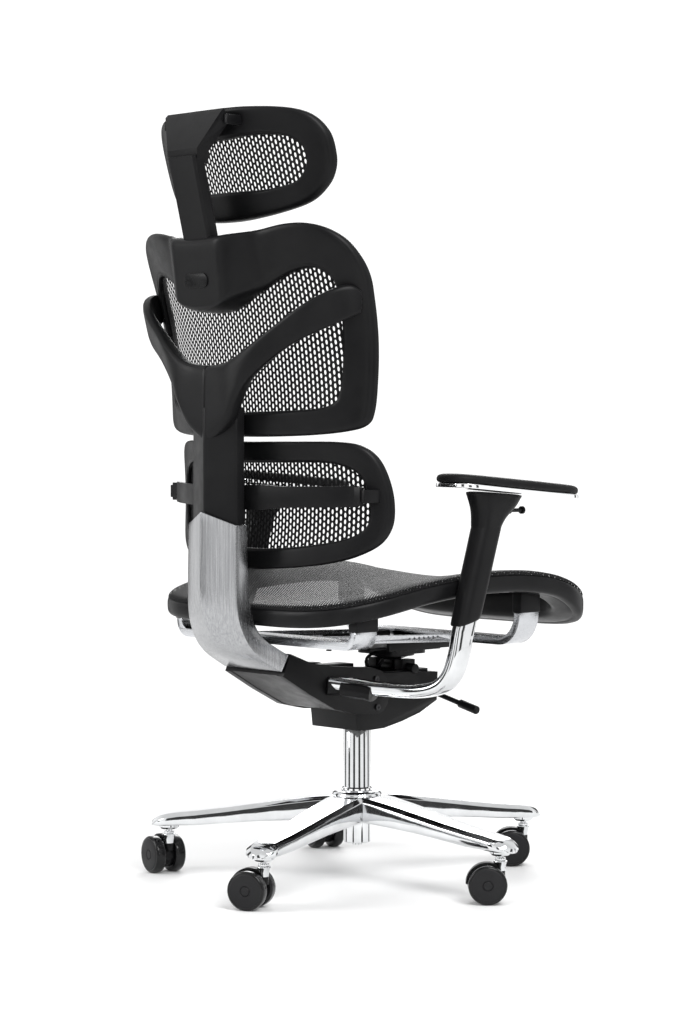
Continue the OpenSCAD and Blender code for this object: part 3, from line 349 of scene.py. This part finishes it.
def smooth_path(points, steps):
    p = [Vector(q) for q in points]
    n = len(p)
    out = [curve_point(p[max(i - 1, 0)], p[i], p[i + 1], p[min(i + 2, n - 1)], s / steps)
           for i in range(n - 1) for s in range(steps)]
    return out + [p[-1]]


def outline(half, w, h, low, steps=6):
    right = [(x * w, low + z * h) for x, z in half]
    return smooth_loop(right + [(-x, z) for x, z in right[-2:0:-1]], steps)


def mirrored(obj, name):
    other = bpy.data.objects.new(name, obj.data.copy())
    bpy.context.scene.collection.objects.link(other)
    other.data.transform(Matrix.Scale(-1, 4, (1, 0, 0)))
    other.data.flip_normals()
    return other


def size(node):
    lo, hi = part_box(node)
    return lo / MM, hi / MM


# ---------------------------------------------------------------- frames and woven panels
BAND = [(0, -0.2), (0.015, -0.62), (0.05, -0.78), (0.085, -0.80), (0.11, -0.96), (0.17, -1), (0.5, -1.02), (0.82, -1),
        (0.92, -0.9), (0.98, -0.62), (1, -0.2), (1, 0.2), (0.98, 0.62), (0.92, 0.9), (0.82, 1), (0.5, 1.02), (0.17, 1),
        (0.11, 0.96), (0.085, 0.8), (0.05, 0.78), (0.015, 0.62), (0, 0.2)]


def upright_frame(name, inner, outer, thick, depth):
    rings = []
    for a, b in zip(inner, outer):
        ring = []
        for s, v in BAND:
            x, z = mix(a.x, b.x, s), mix(a.y, b.y, s)
            ring.append((x, depth(x, z) + v * thick / 2, z))
        rings.append(ring)
    return loft(name, rings, closed=True, levels=1)


def sheet_of(name, rings, material, node):
    """A woven sheet from rings of points that run inwards to the middle."""
    m = len(rings[0])
    verts = [Vector(p) * MM for r in rings for p in r]
    faces = [(i * m + j, i * m + (j + 1) % m, (i + 1) * m + (j + 1) % m, (i + 1) * m + j)
             for i in range(len(rings) - 1) for j in range(m)]
    verts.append(sum((Vector(p) * MM for p in rings[-1]), Vector()) / m)
    faces += [((len(rings) - 1) * m + j, (len(rings) - 1) * m + (j + 1) % m, len(verts) - 1) for j in range(m)]
    obj = made(name, verts, faces)
    finished(obj, material, NODE_BODY[node], node, slot="mesh", sharp=0)
    return obj


def upright_sheet(name, window, middle, depth, node):
    tuck = 4.0
    rings = []
    for k in [1.0] + [1 - i / 14 for i in range(1, 14)]:
        ring = []
        for p in window:
            d = Vector((p.x, p.y - middle))
            grown = (d.length + tuck) / d.length if k == 1.0 else 1.0
            x, z = d.x * grown * k, middle + d.y * grown * k
            ring.append((x, depth(x, z), z))
        rings.append(ring)
    return sheet_of(name, rings, MESH_BACK, node)


UPPER = [(0, 0), (0.3, 0), (0.6, 0.008), (0.8, 0.026), (0.9, 0.055), (0.935, 0.12), (0.955, 0.27), 
         (0.976, 0.456), (0.992, 0.64), (1, 0.75), (0.98, 0.84), (0.93, 0.92), (0.84, 0.972), (0.72, 0.995), 
         (0.58, 0.992), (0.42, 0.972), (0.28, 0.96), (0.14, 0.952), (0, 0.95)]
UPPER_IN = [(0, 0.118), (0.2, 0.12), (0.45, 0.126), (0.66, 0.138), (0.745, 0.165), (0.777, 0.21), (0.8, 0.3), 
            (0.825, 0.487), (0.836, 0.6), (0.832, 0.7), (0.808, 0.745), (0.765, 0.775), (0.71, 0.787), 
            (0.625, 0.778), (0.534, 0.752), (0.41, 0.705), (0.28, 0.654), (0.146, 0.602), (0, 0.588)]
LUMBAR = [(0, 0), (0.2, 0), (0.475, 0.025), (0.65, 0.055), (0.8, 0.105), (0.93, 0.2), (0.99, 0.335), 
          (1, 0.51), (0.98, 0.7), (0.935, 0.87), (0.86, 0.965), (0.74, 1), (0.48, 1.003), (0, 1)]
LUMBAR_IN = [(0, 0.165), (0.2, 0.165), (0.4, 0.18), (0.617, 0.215), (0.767, 0.258), (0.855, 0.32), 
             (0.888, 0.4), (0.89, 0.516), (0.876, 0.63), (0.84, 0.735), (0.765, 0.8), (0.62, 0.835), 
             (0.34, 0.835), (0, 0.83)]
HEAD = [(0, 0.01), (0.22, 0.02), (0.51, 0.07), (0.76, 0.155), (0.91, 0.3), (0.98, 0.45), (1, 0.6), 
        (0.985, 0.77), (0.9, 0.91), (0.74, 0.975), (0.45, 1), (0.22, 1.002), (0, 1)]
HEAD_IN = [(0, 0.274), (0.22, 0.274), (0.44, 0.28), (0.635, 0.312), (0.735, 0.36), (0.8, 0.455), 
           (0.82, 0.547), (0.797, 0.655), (0.716, 0.72), (0.54, 0.745), (0.34, 0.743), (0.17, 0.725), 
           (0, 0.72)]


def step(a, b, t):
    k = min(max((t - a) / (b - a), 0), 1)
    return k * k * (3 - 2 * k)


def rounded_block(name, lo, hi, width=1.5):
    x0, y0, z0 = lo
    x1, y1, z1 = hi
    rings = [[(x0, y0, z), (x1, y0, z), (x1, y1, z), (x0, y1, z)] for z in (z0, z1)]
    return softened(loft(name, rings), width, 3)


POST_W = 31
UPPER_W, UPPER_H, UPPER_Z = 247, 320, 713


def upper_depth(x, z):
    edge = -171 - 48 * (max(z - UPPER_Z - 45, 0) / 225) ** 2
    mid = -258 - 42 * (max(z - UPPER_Z, 0) / 290) ** 1.4
    return mix(mid, edge, min(abs(x) / UPPER_W, 1) ** 2.1)


def build_back():
    inner = outline(UPPER_IN, UPPER_W, UPPER_H, UPPER_Z)
    outer = outline(UPPER, UPPER_W, UPPER_H, UPPER_Z)
    half = POST_W + 16
    rings = []
    for a, b in zip(inner, outer):
        ring = []
        for k, v in BAND:
            x, z = mix(a.x, b.x, k), mix(a.y, b.y, k)
            y = upper_depth(x, z) + v * 11
            if v < 0:
                share = step(half + 60, half, abs(x)) * step(880, 902, z) * min(1, -v * 1.25)
                y = mix(y, -327 - 0.13 * (z - 905), share)
            ring.append((x, y, z))
        rings.append(ring)
    finished(loft("upper_back_frame", rings, closed=True, levels=1), BLACK, "back_mast", "upper_frame", slot="black")
    upright_sheet("upper_back_mesh", inner, UPPER_Z + UPPER_H * 0.4, upper_depth, "upper_mesh")

    lw, lh, llow = 240, 196, 510

    def lumbar_depth(x, z):
        return -232 + 82 * min(abs(x) / lw, 1) ** 2.1 - 10 * ((z - llow - lh / 2) / lh * 2) ** 2

    inner = outline(LUMBAR_IN, lw, lh, llow)
    obj = upright_frame("lumbar_ring", inner, outline(LUMBAR, lw, lh, llow), 18, lumbar_depth)
    finished(obj, BLACK, "lumbar", "lumbar_frame", slot="black")
    upright_sheet("lumbar_sheet", inner, llow + lh / 2, lumbar_depth, "lumbar_mesh")
    lug = lw - 25
    for side, sign in (("left", -1), ("right", 1)):
        x0, x1 = sorted((sign * (lug + 6.5), sign * (lug + 14.5)))
        ear = rounded_block("lumbar_ear_" + side, (x0, -199, 614), (x1, -162, 634))
        finished(ear, BLACK, "lumbar", slot="black")
        pin = lathe("lumbar_pin_" + side, [(0, -7), (4, -7), (4, 7), (0, 7)], 32, (sign * (lug + 1), -192, 624),
                    Matrix.Rotation(math.radians(90), 4, "Y"))
        finished(pin, STEEL, "lumbar", slot="black")

    hw, hh, hlow = 192, 170, 1039

    def head_depth(x, z):
        return -280 - 0.29 * (z - 1100) + 66 * min(abs(x) / hw, 1) ** 2.1

    inner = outline(HEAD_IN, hw, hh, hlow)
    obj = upright_frame("headrest_ring", inner, outline(HEAD, hw, hh, hlow), 20, head_depth)
    finished(obj, BLACK, "headrest", "headrest_frame", slot="black")
    upright_sheet("headrest_sheet", inner, hlow + hh / 2, head_depth, "headrest_mesh")
    for side, sign in (("left", -1), ("right", 1)):
        x0, x1 = sorted((sign * 66.5, sign * 74.5))
        ear = rounded_block("headrest_ear_" + side, (x0, -335, 1181), (x1, -300, 1196))
        finished(ear, BLACK, "headrest", slot="black")
    pin = lathe("headrest_pin", [(0, -72), (5, -72), (5, 72), (0, 72)], 32, (0, -327.5, 1190),
                Matrix.Rotation(math.radians(90), 4, "Y"))
    finished(pin, STEEL, "headrest", slot="black")
    refined("headrest_post", BLACK, 2.5, 3)
    refined("lumbar_carrier", BLACK, 1.5)
    refined("back_badge", BLACK_FINE, 0.6)


def build_yoke():
    w = 0.98 * 57 - 4 - 0.5
    section = [(-w, -281), (-w, -298.2), (0, -319.8), (w, -298.2), (w, -281)]
    stem = loft("yoke_stem", [[(x, y, z) for x, y in section] for z in (482, 620, 700, 758)])
    softened(stem, 2.5, 3, 20)
    branch = [((-2, 822), (-2, 700), -306, 26), ((28, 824), (43, 728), -306, 26), ((60, 832), (66, 764), -307, 26),
              ((105, 859), (86, 796), -302, 22), ((145, 886), (121, 826), -292, 18), ((185, 912), (163, 853), -279, 17),
              ((215, 931), (200, 873), -256, 17), ((229, 939), (224, 888), -230, 18), ((235, 930), (233, 898), -211, 15)]
    mids = smooth_path([((a[0] + b[0]) / 2, y, (a[1] + b[1]) / 2) for a, b, y, t in branch], 5)
    highs = smooth_path([((a[0] - b[0]) / 2, 0, (a[1] - b[1]) / 2) for a, b, y, t in branch], 5)
    thick = smooth_path([(t, 0, 0) for a, b, y, t in branch], 5)
    rings = []
    for i, p in enumerate(mids):
        t = (mids[min(i + 1, len(mids) - 1)] - mids[max(i - 1, 0)]).normalized()
        out = t.cross(highs[i]).normalized() * thick[i].x / 2
        rings.append([p + highs[i] * a + out * b for a, b in (
            (-1, -0.3), (-0.95, -0.75), (-0.82, -1), (0, -1.05), (0.82, -1), (0.95, -0.75), (1, -0.3),
            (1, 0.3), (0.95, 0.75), (0.82, 1), (0, 1), (-0.82, 1), (-0.95, 0.75), (-1, 0.3))])
    right = loft("yoke_branch_right", rings, levels=1)
    left = mirrored(right, "yoke_branch_left")
    for o in (stem, right, left):
        finished(o, BLACK, "back_mast", slot="black")
    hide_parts("back_yoke")


def build_spine():
    stations = [((-281, 579), (-1, 0), 0.98, 23, 22), ((-280, 526), (-1, 0), 1, 23, 24), ((-278, 478), (-1, 0), 1.01, 23, 26),
                ((-273, 441), (-0.98, -0.2), 1.04, 18, 28), ((-262, 415), (-0.87, -0.5), 1.08, 10, 28),
                ((-246, 400), (-0.66, -0.75), 1.12, 5, 29), ((-228, 389), (-0.53, -0.85), 1.15, 2, 29),
                ((-206, 377), (-0.5, -0.866), 1.18, 0, 29)]
    at = smooth_path([(s[0][0], s[0][1], 0) for s in stations], 5)
    normal = smooth_path([(s[1][0], s[1][1], 0) for s in stations], 5)
    rest = smooth_path([(s[2], s[3], s[4]) for s in stations], 5)
    rings = []
    for i, p in enumerate(at):
        n = normal[i].normalized()
        w, v, d, t = rest[i].x * 57, rest[i].y, rest[i].z, 4
        ring = []
        for x, o in ((-w, 0), (-w, d), (0, d + v), (w, d), (w, 0), (w - t, 0), (w - t, d - t), (0, d + v - t),
                     (t - w, d - t), (t - w, 0)):
            rise = 20 * (1 - abs(x) / w) * max(0, 1 - i / 3) if i < 3 else 0
            ring.append((x, p.x + n.x * o, p.y + n.y * o + rise))
        rings.append(ring)
    obj = loft("spine", rings)
    softened(obj, 1.0, 3, 25)
    finished(obj, ALU, "back_carrier", "back_spine", slot="alu", sharp=30)


def build_seat():
    w, l, back = 246, 592, -262
    half = [(0, 0), (0.45, 0.004), (0.74, 0.035), (0.9, 0.1), (0.975, 0.2), (1, 0.36), (1, 0.56), (0.995, 0.76),
            (0.965, 0.88), (0.87, 0.955), (0.68, 0.99), (0.35, 1), (0, 1)]
    levels = [(-262, 455), (-200, 466), (-150, 475), (-85, 487), (-20, 495), (40, 499), (100, 500), (160, 497),
              (214, 489), (259, 477), (300, 462), (330, 450)]
    smooth = smooth_path([(a, b, 0) for a, b in levels], 8)

    def level_at(y):
        for a, b in zip(smooth, smooth[1:]):
            if y <= b.x:
                return mix(a.y, b.y, min(max((y - a.x) / (b.x - a.x), 0), 1))
        return smooth[-1].y

    def level(x, y):
        share = min(max((y - back) / l, 0), 1)
        across = max(math.cos(math.pi / 2 * min(abs(x) / w, 1)), 0) ** 1.5
        return level_at(y) - 18 * across * max(math.sin(math.pi * share), 0) ** 0.6

    def drop(y):
        return 26 * max((y - back - l + 110) / 110, 0) ** 1.5

    edge = outline(half, w, l, back)
    middle = Vector((0, back + l / 2))
    rings = []
    for p in edge:
        inward = (middle - p).normalized()
        q = p + inward * 53.8
        top, h = level(p.x, p.y), 30 + 0.6 * drop(p.y)
        ring = []
        for s, v in ((1, -0.6), (1, 0.5), (0.95, 0.85), (0.85, 1), (0.5, 1), (0.15, 0.98), (0.05, 0.85), (0, 0.55),
                     (0, 0), (0.005, -0.5), (0.04, -0.82), (0.12, -1), (0.3, -1), (0.32, -0.93), (0.36, -0.93),
                     (0.38, -1), (0.88, -1), (0.97, -0.9)):
            x, y = mix(p.x, q.x, s), mix(p.y, q.y, s)
            ring.append((x, y, top - h / 2 - 1 + v * h / 2 + s * (level(q.x, q.y) - top) * 0.7
                         - drop(p.y) * 0.2 * (1 - s)))
        rings.append(ring)
    ring_obj = loft("seat_ring", rings, closed=True, levels=1)
    finished(ring_obj, BLACK, "seat", "seat_frame", slot="black")
    for label, y, low, high in (("rear", -178, 419.2, 441.2), ("front", 178, 432.2, 466.2)):
        for side, sign in (("left", -1), ("right", 1)):
            block = rounded_block("seat_block_%s_%s" % (label, side), (sign * 205 - 10, y - 22, low),
                                  (sign * 205 + 10, y + 22, high))
            finished(block, BLACK, "seat", slot="black")

    lift = {1.0: -3.5, 0.996: -0.5, 0.988: 1.8, 0.97: 3.2, 0.94: 4.0, 0.9: 4.0, 0.86: 3.6, 0.82: 2.4}
    sheet_rings = []
    for k in list(lift) + [0.77 - 0.07 * i for i in range(11)]:
        ring = []
        for p in edge:
            x, y = p.x * k * 0.996, middle.y + (p.y - middle.y) * k * 0.996
            ring.append((x, y, level(x, y) + lift.get(k, 1.5) - 0.2 * drop(p.y) * max(0, (k - 0.8) / 0.2)))
        sheet_rings.append(ring)
    sheet_of("seat_sheet", sheet_rings, MESH_SEAT, "seat_mesh")
    refined("seat_subframe", ALU_X, 1.2)
    refined("seat_carrier", COATED, 1.0)


def swept(name, path, section, levels=1):
    rings = []
    for i, p in enumerate(path):
        t = (path[min(i + 1, len(path) - 1)] - path[max(i - 1, 0)]).normalized()
        wide = (Vector((0, 1, 0)) - t * t.y).normalized()
        thin = t.cross(wide)
        rings.append([p + wide * a + thin * b for a, b in section])
    return loft(name, rings, levels=levels)


def rounded(a, b, power, count=24):
    out = []
    for j in range(count):
        t = 2 * math.pi * j / count
        c, s = math.cos(t), math.sin(t)
        out.append((a * math.copysign(abs(c) ** power, c), b * math.copysign(abs(s) ** power, s)))
    return out


def build_arms():
    arm_x, lean, foot = 265, math.tan(math.radians(17.5)), (-20.5, 431)

    def axis_y(z):
        return foot[0] + (z - foot[1]) * lean

    points = [(62, -116, 330), (85, -101, 327), (arm_x - 155, -83, 323), (arm_x - 135, -74, 321), (arm_x - 95, -60, 320),
              (arm_x - 58, -50, 322), (arm_x - 28, -43, 331), (arm_x - 10, -38, 350), (arm_x - 2, -33, 378)]
    points += [(arm_x, axis_y(z), z) for z in (406, 418, 440, 500, 552)]
    bar = swept("arm_bar_r", smooth_path(points, 6), rounded(20, 11, 0.72), 1)
    finished(mirrored(bar, "arm_bar_l"), CHROME, "back_carrier", "arm_bar_left", slot="chrome")
    finished(bar, CHROME, "back_carrier", "arm_bar_right", slot="chrome")

    rings = []
    # Height, half sizes in X and Y, middle in Y where it leaves the bar's line, and slant of the lower end
    for z, a, b, y, cut in ((428, 15.2, 22, None, 6), (431, 16.6, 23.6, None, 6), (434, 17, 24, None, 6),
                            (460, 17, 24, None, 2), (500, 17, 24, None, 0), (550, 17, 24, None, 0),
                            (572, 17.1, 24.6, None, 0), (574, 16.7, 24.2, None, 0), (576, 17.3, 25, None, 0),
                            (585, 17.5, 28, 28, 0), (595, 18.7, 34, 34, 0), (605, 20, 42, 40, 0),
                            (614, 21.3, 47.5, 41, 0), (621, 22.2, 51.5, 41.6, 0), (624.6, 23.4, 56, 42, 0)):
        centre = axis_y(z) if y is None else y
        ring = []
        for px, py in rounded(a, b, 0.62, 28):
            slope = 0.087 * (py + centre - 73) if z > 600 else 0
            ring.append((arm_x + px, centre + py, z + cut * py / 24 - slope * (z - 600) / 28))
        rings.append(ring)
    sleeve = loft("arm_sleeve_r", rings, levels=1)
    finished(mirrored(sleeve, "arm_sleeve_l"), BLACK, "arm_left", "arm_sleeve_left", slot="black")
    finished(sleeve, BLACK, "arm_right", "arm_sleeve_right", slot="black")

    tilt = Matrix.Translation(Vector((arm_x, 73, 629)) * MM) @ Matrix.Rotation(math.radians(-5), 4, "X")
    profile = [(-9, 3.2), (-4, 3.6), (-1.5, 5), (-0.3, 8), (-0.3, 11), (-1.5, 14), (-4.5, 16.2), (-9, 17.4),
               (-16, 18), (-28, 18.1)]
    rings = [[(px, py, z) for px, py in rounded(46 + g, 140 + g, 0.62, 44)] for g, z in profile]
    pad = loft("arm_pad_r", rings, levels=1)
    pad.data.transform(tilt)
    finished(mirrored(pad, "arm_pad_l"), PAD, "rest_left", "arm_pad_left", slot="pad", sharp=0)
    finished(pad, PAD, "rest_right", "arm_pad_right", slot="pad", sharp=0)
    for side in ("left", "right"):
        refined("arm_plate_" + side, BRIGHT, 1.6, 3)
        refined("arm_button_" + side, BLACK, 0.6)


def build_base():
    reach, root_w, tip_w = STEM_CIRCLE + 28, 74, 52
    arms = []
    for k, angle in enumerate(ARM_ANGLES):
        rings = []
        # Radius, top and underside of the arm
        profile = [(8, 139, 100), (60, 135.5, 98), (108, 129, 96), (160, 121, 93), (211, 113, 88.5),
                   (262, 106, 83.5), (290, 103, 82.5), (306, 100.5, 81.5), (312, 99.3, 81.2),
                   (320, 97, 80.8), (327, 94, 80.5), (332, 91, 80.3), (336, 87.6, 80.1), (338, 85.5, 80)]
        for r, top, low in profile:
            width = mix(root_w, tip_w, r / (reach - tip_w / 2))
            if r > reach - tip_w / 2:
                width = tip_w * math.sqrt(max(1 - ((r - reach + tip_w / 2) / (tip_w / 2 + 0.3)) ** 2, 0.02))
            e, b = width / 2, min(9.0, width * 0.2)
            ring = [(r, y, z) for y, z in ((-e + b, top), (0, top + 0.4), (e - b, top), (e - 0.5, top - 5.5), (e, top - 7), (e, low + 2.5), (e - 2, low),
                                           (-e + 2, low), (-e, low + 2.5), (-e, top - 7), (-e + 0.5, top - 5.5))]
            rings.append(ring)
        arm = loft("base_arm_%d" % (k + 1), rings)
        softened(arm, 1.1, 2, 22)
        boss = lathe("boss", [(0, 74), (13.5, 74), (16.5, 77), (16.5, 90), (0, 90)], 48, (STEM_CIRCLE, 0, 0))
        arm = joined("base_arm_%d" % (k + 1), [arm, boss])
        arm.data.transform(Matrix.Rotation(math.radians(angle), 4, "Z"))
        finished(arm, CHROME, "base", slot="chrome", sharp=40)
        arms.append(arm)
    hub = lathe("base_hub", [(21.9, 143), (24, 144), (33, 144), (36, 143.2), (38.5, 141), (40, 137), (40.5, 125),
                             (40.5, 108), (38, 100), (33, 96), (21.9, 95)], 96)
    finished(hub, CHROME, "base", slot="chrome", sharp=40)
    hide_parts("base_star")
    collar = lathe("column_collar", [(21.8, 143.5), (24.2, 143.5), (25, 145), (24.6, 148), (22.4, 150),
                                       (21.8, 150)], 72)
    finished(collar, BRIGHT, "base", slot="chrome")
    tube = lathe("column_shell", [(15, 60), (20.5, 60), (21.8, 61.5), (21.8, 248.6), (21.2, 249.7),
                                  (20, 250), (14.2, 250)], 96)
    finished(tube, CHROME, "base", "column_tube", slot="chrome")
    for node, material in (("column_bush", BLACK), ("thrust_bearing", STEEL), ("rod_clip", STEEL),
                           ("piston_rod", CHROME), ("gas_cylinder", STEEL)):
        frame["nodes"][node].data.materials.clear()
        frame["nodes"][node].data.materials.append(material)


def build_casters():
    half_gap = 8.5
    tread = [(4.2, 0), (27, 0), (28.8, 0.8), (29.8, 2.4), (30, 5), (30, 14), (29.6, 16), (28.4, 17.6),
             (26.6, 18.2), (25.4, 17.9)]
    face = [(25.6, 17.9), (24.6, 18.5), (23, 18.8), (8.6, 18.8), (8, 18.2), (7.4, 17.6), (6.8, 18.2), (6, 18.9),
            (0, 19)]
    for k, (angle, trail) in enumerate(zip(ARM_ANGLES, TRAIL_ANGLES)):
        stem = (STEM_CIRCLE * math.cos(math.radians(angle)), STEM_CIRCLE * math.sin(math.radians(angle)))
        place = Matrix.Translation(Vector((stem[0], stem[1], 0)) * MM) @ Matrix.Rotation(math.radians(trail), 4, "Z")
        body = "caster_%d" % (k + 1)
        for side, sign in (("left", 1), ("right", -1)):
            turn = (Matrix.Translation(Vector((20, sign * half_gap, 30)) * MM)
                    @ Matrix.Rotation(math.radians(-90 * sign), 4, "X"))
            name = "wheel_%d_%s" % (k + 1, side)
            for label, profile, material in (("tread", tread, TREAD), ("face", face, FACE)):
                obj = lathe("%s_%s" % (name, label), profile, 72)
                obj.data.transform(place @ turn)
                finished(obj, material, name, slot="tread")
                if label == "tread":
                    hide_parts(name)
        socket = lathe("%s_socket" % body, [(5.7, 46), (7.4, 46), (7.5, 50), (8.2, 56), (9.6, 62), (10.6, 63),
                                            (11, 64.2), (10.6, 65.3), (9.4, 65.6), (5.7, 65.6)], 48)
        socket.data.transform(place)
        finished(socket, CHROME, body, slot="hood")
        refined("caster_hood_%d" % (k + 1), BLACK_FINE, 0.8, 2)
    refined("caster_stems", CHROME, 0.5, 2)


def build_mechanism():
    refined("mech_housing", COATED, 3.0, 3)
    refined("mech_cover", BLACK, 1.0)
    refined("recline_pin", STEEL, 1.0)
    refined("seat_shaft", COATED, 1.2)
    refined("lift_lever_rod", COATED, 0.6)
    refined("lift_lever_grip", BLACK, 0.8)
    refined("carrier_bracket", COATED, 2.2, 3)
    refined("bracket_screws", SCREW, 0.4)
    for node, material in (("recline_springs", STEEL), ("release_cable", BLACK_FINE)):
        data = frame["nodes"][node].data
        data.materials.clear()
        data.materials.append(material)
        data.polygons.foreach_set("use_smooth", [True] * len(data.polygons))


# ---------------------------------------------------------------- stage
def add_light(name, kind, place, aim, energy, extent, color=(1, 1, 1)):
    data = bpy.data.lights.new(name, kind)
    data.energy, data.color = energy, color
    data.shape, data.size, data.size_y = "RECTANGLE", extent[0], extent[1]
    obj = bpy.data.objects.new(name, data)
    bpy.context.scene.collection.objects.link(obj)
    obj.location = place
    obj.rotation_mode = "QUATERNION"
    obj.rotation_quaternion = (Vector(aim) - Vector(place)).to_track_quat("-Z", "Y")


def add_stage():
    mesh = bpy.data.meshes.new("floor")
    radius, corners = 2.6, 64
    rim = [(radius * math.cos(a * math.pi / 32), radius * math.sin(a * math.pi / 32), 0) for a in range(corners)]
    mesh.from_pydata(rim, [], [tuple(range(corners))])
    floor = bpy.data.objects.new("floor", mesh)
    bpy.context.scene.collection.objects.link(floor)
    m = Nodes("floor_white")
    m.set(Roughness=0.7, Specular_IOR_Level=0.2)
    m.tint(m.noise(0.6, 2), (0.86, 0.86, 0.86), (0.88, 0.88, 0.88))
    mesh.materials.append(m.mat)
    world = bpy.data.worlds.new("studio")
    bpy.context.scene.world = world
    world.use_nodes = True
    tree = world.node_tree
    shade = tree.nodes["Background"]
    coords = tree.nodes.new("ShaderNodeTexCoord")
    split = tree.nodes.new("ShaderNodeSeparateXYZ")
    ramp = tree.nodes.new("ShaderNodeValToRGB")
    tree.links.new(coords.outputs["Generated"], split.inputs[0])
    tree.links.new(split.outputs["Z"], ramp.inputs[0])
    tree.links.new(ramp.outputs[0], shade.inputs["Color"])
    ramp.color_ramp.elements[0].position, ramp.color_ramp.elements[0].color = 0.30, (1, 1, 1, 1)
    ramp.color_ramp.elements[1].position, ramp.color_ramp.elements[1].color = 0.75, (0.72, 0.72, 0.72, 1)
    # Dark upright panels between the usual directions of view give the chrome its contrast
    turn = tree.nodes.new("ShaderNodeMath")
    turn.operation = "ARCTAN2"
    tree.links.new(split.outputs["Y"], turn.inputs[0])
    tree.links.new(split.outputs["X"], turn.inputs[1])
    wave = tree.nodes.new("ShaderNodeMath")
    wave.operation = "MULTIPLY"
    wave.inputs[1].default_value = 8.0
    tree.links.new(turn.outputs[0], wave.inputs[0])
    cosine = tree.nodes.new("ShaderNodeMath")
    cosine.operation = "COSINE"
    tree.links.new(wave.outputs[0], cosine.inputs[0])
    stripe = tree.nodes.new("ShaderNodeMapRange")
    stripe.interpolation_type = "SMOOTHSTEP"
    stripe.inputs["From Min"].default_value, stripe.inputs["From Max"].default_value = -0.55, -0.2
    tree.links.new(cosine.outputs[0], stripe.inputs["Value"])
    tall = tree.nodes.new("ShaderNodeMapRange")
    tall.interpolation_type = "SMOOTHSTEP"
    tall.inputs["From Min"].default_value, tall.inputs["From Max"].default_value = 0.35, 0.6
    tree.links.new(split.outputs["Z"], tall.inputs["Value"])
    either = tree.nodes.new("ShaderNodeMath")
    either.operation = "MAXIMUM"
    tree.links.new(stripe.outputs["Result"], either.inputs[0])
    tree.links.new(tall.outputs["Result"], either.inputs[1])
    shown = tree.nodes.new("ShaderNodeMix")
    shown.data_type = "RGBA"
    shown.inputs[6].default_value = (0.05, 0.05, 0.05, 1)
    tree.links.new(either.outputs[0], shown.inputs[0])
    tree.links.new(ramp.outputs[0], shown.inputs[7])
    tree.links.new(shown.outputs[2], shade.inputs["Color"])
    shade.inputs["Strength"].default_value = 1.15
    bpy.context.scene.view_settings.view_transform = "Standard"
    add_light("key", "AREA", (2.6, -0.6, 2.8), (0, 0, 0.6), 80, (1.6, 1.6))
    add_light("rear", "AREA", (-2.4, 2.6, 2.2), (0, 0, 0.7), 60, (1.8, 1.8))
    add_light("left", "AREA", (-1.6, -3.0, 2.0), (0, 0, 0.7), 50, (1.2, 2.0))


add_camera()
build_back()
build_yoke()
build_spine()
build_seat()
build_arms()
build_base()
build_casters()
build_mechanism()
add_stage()
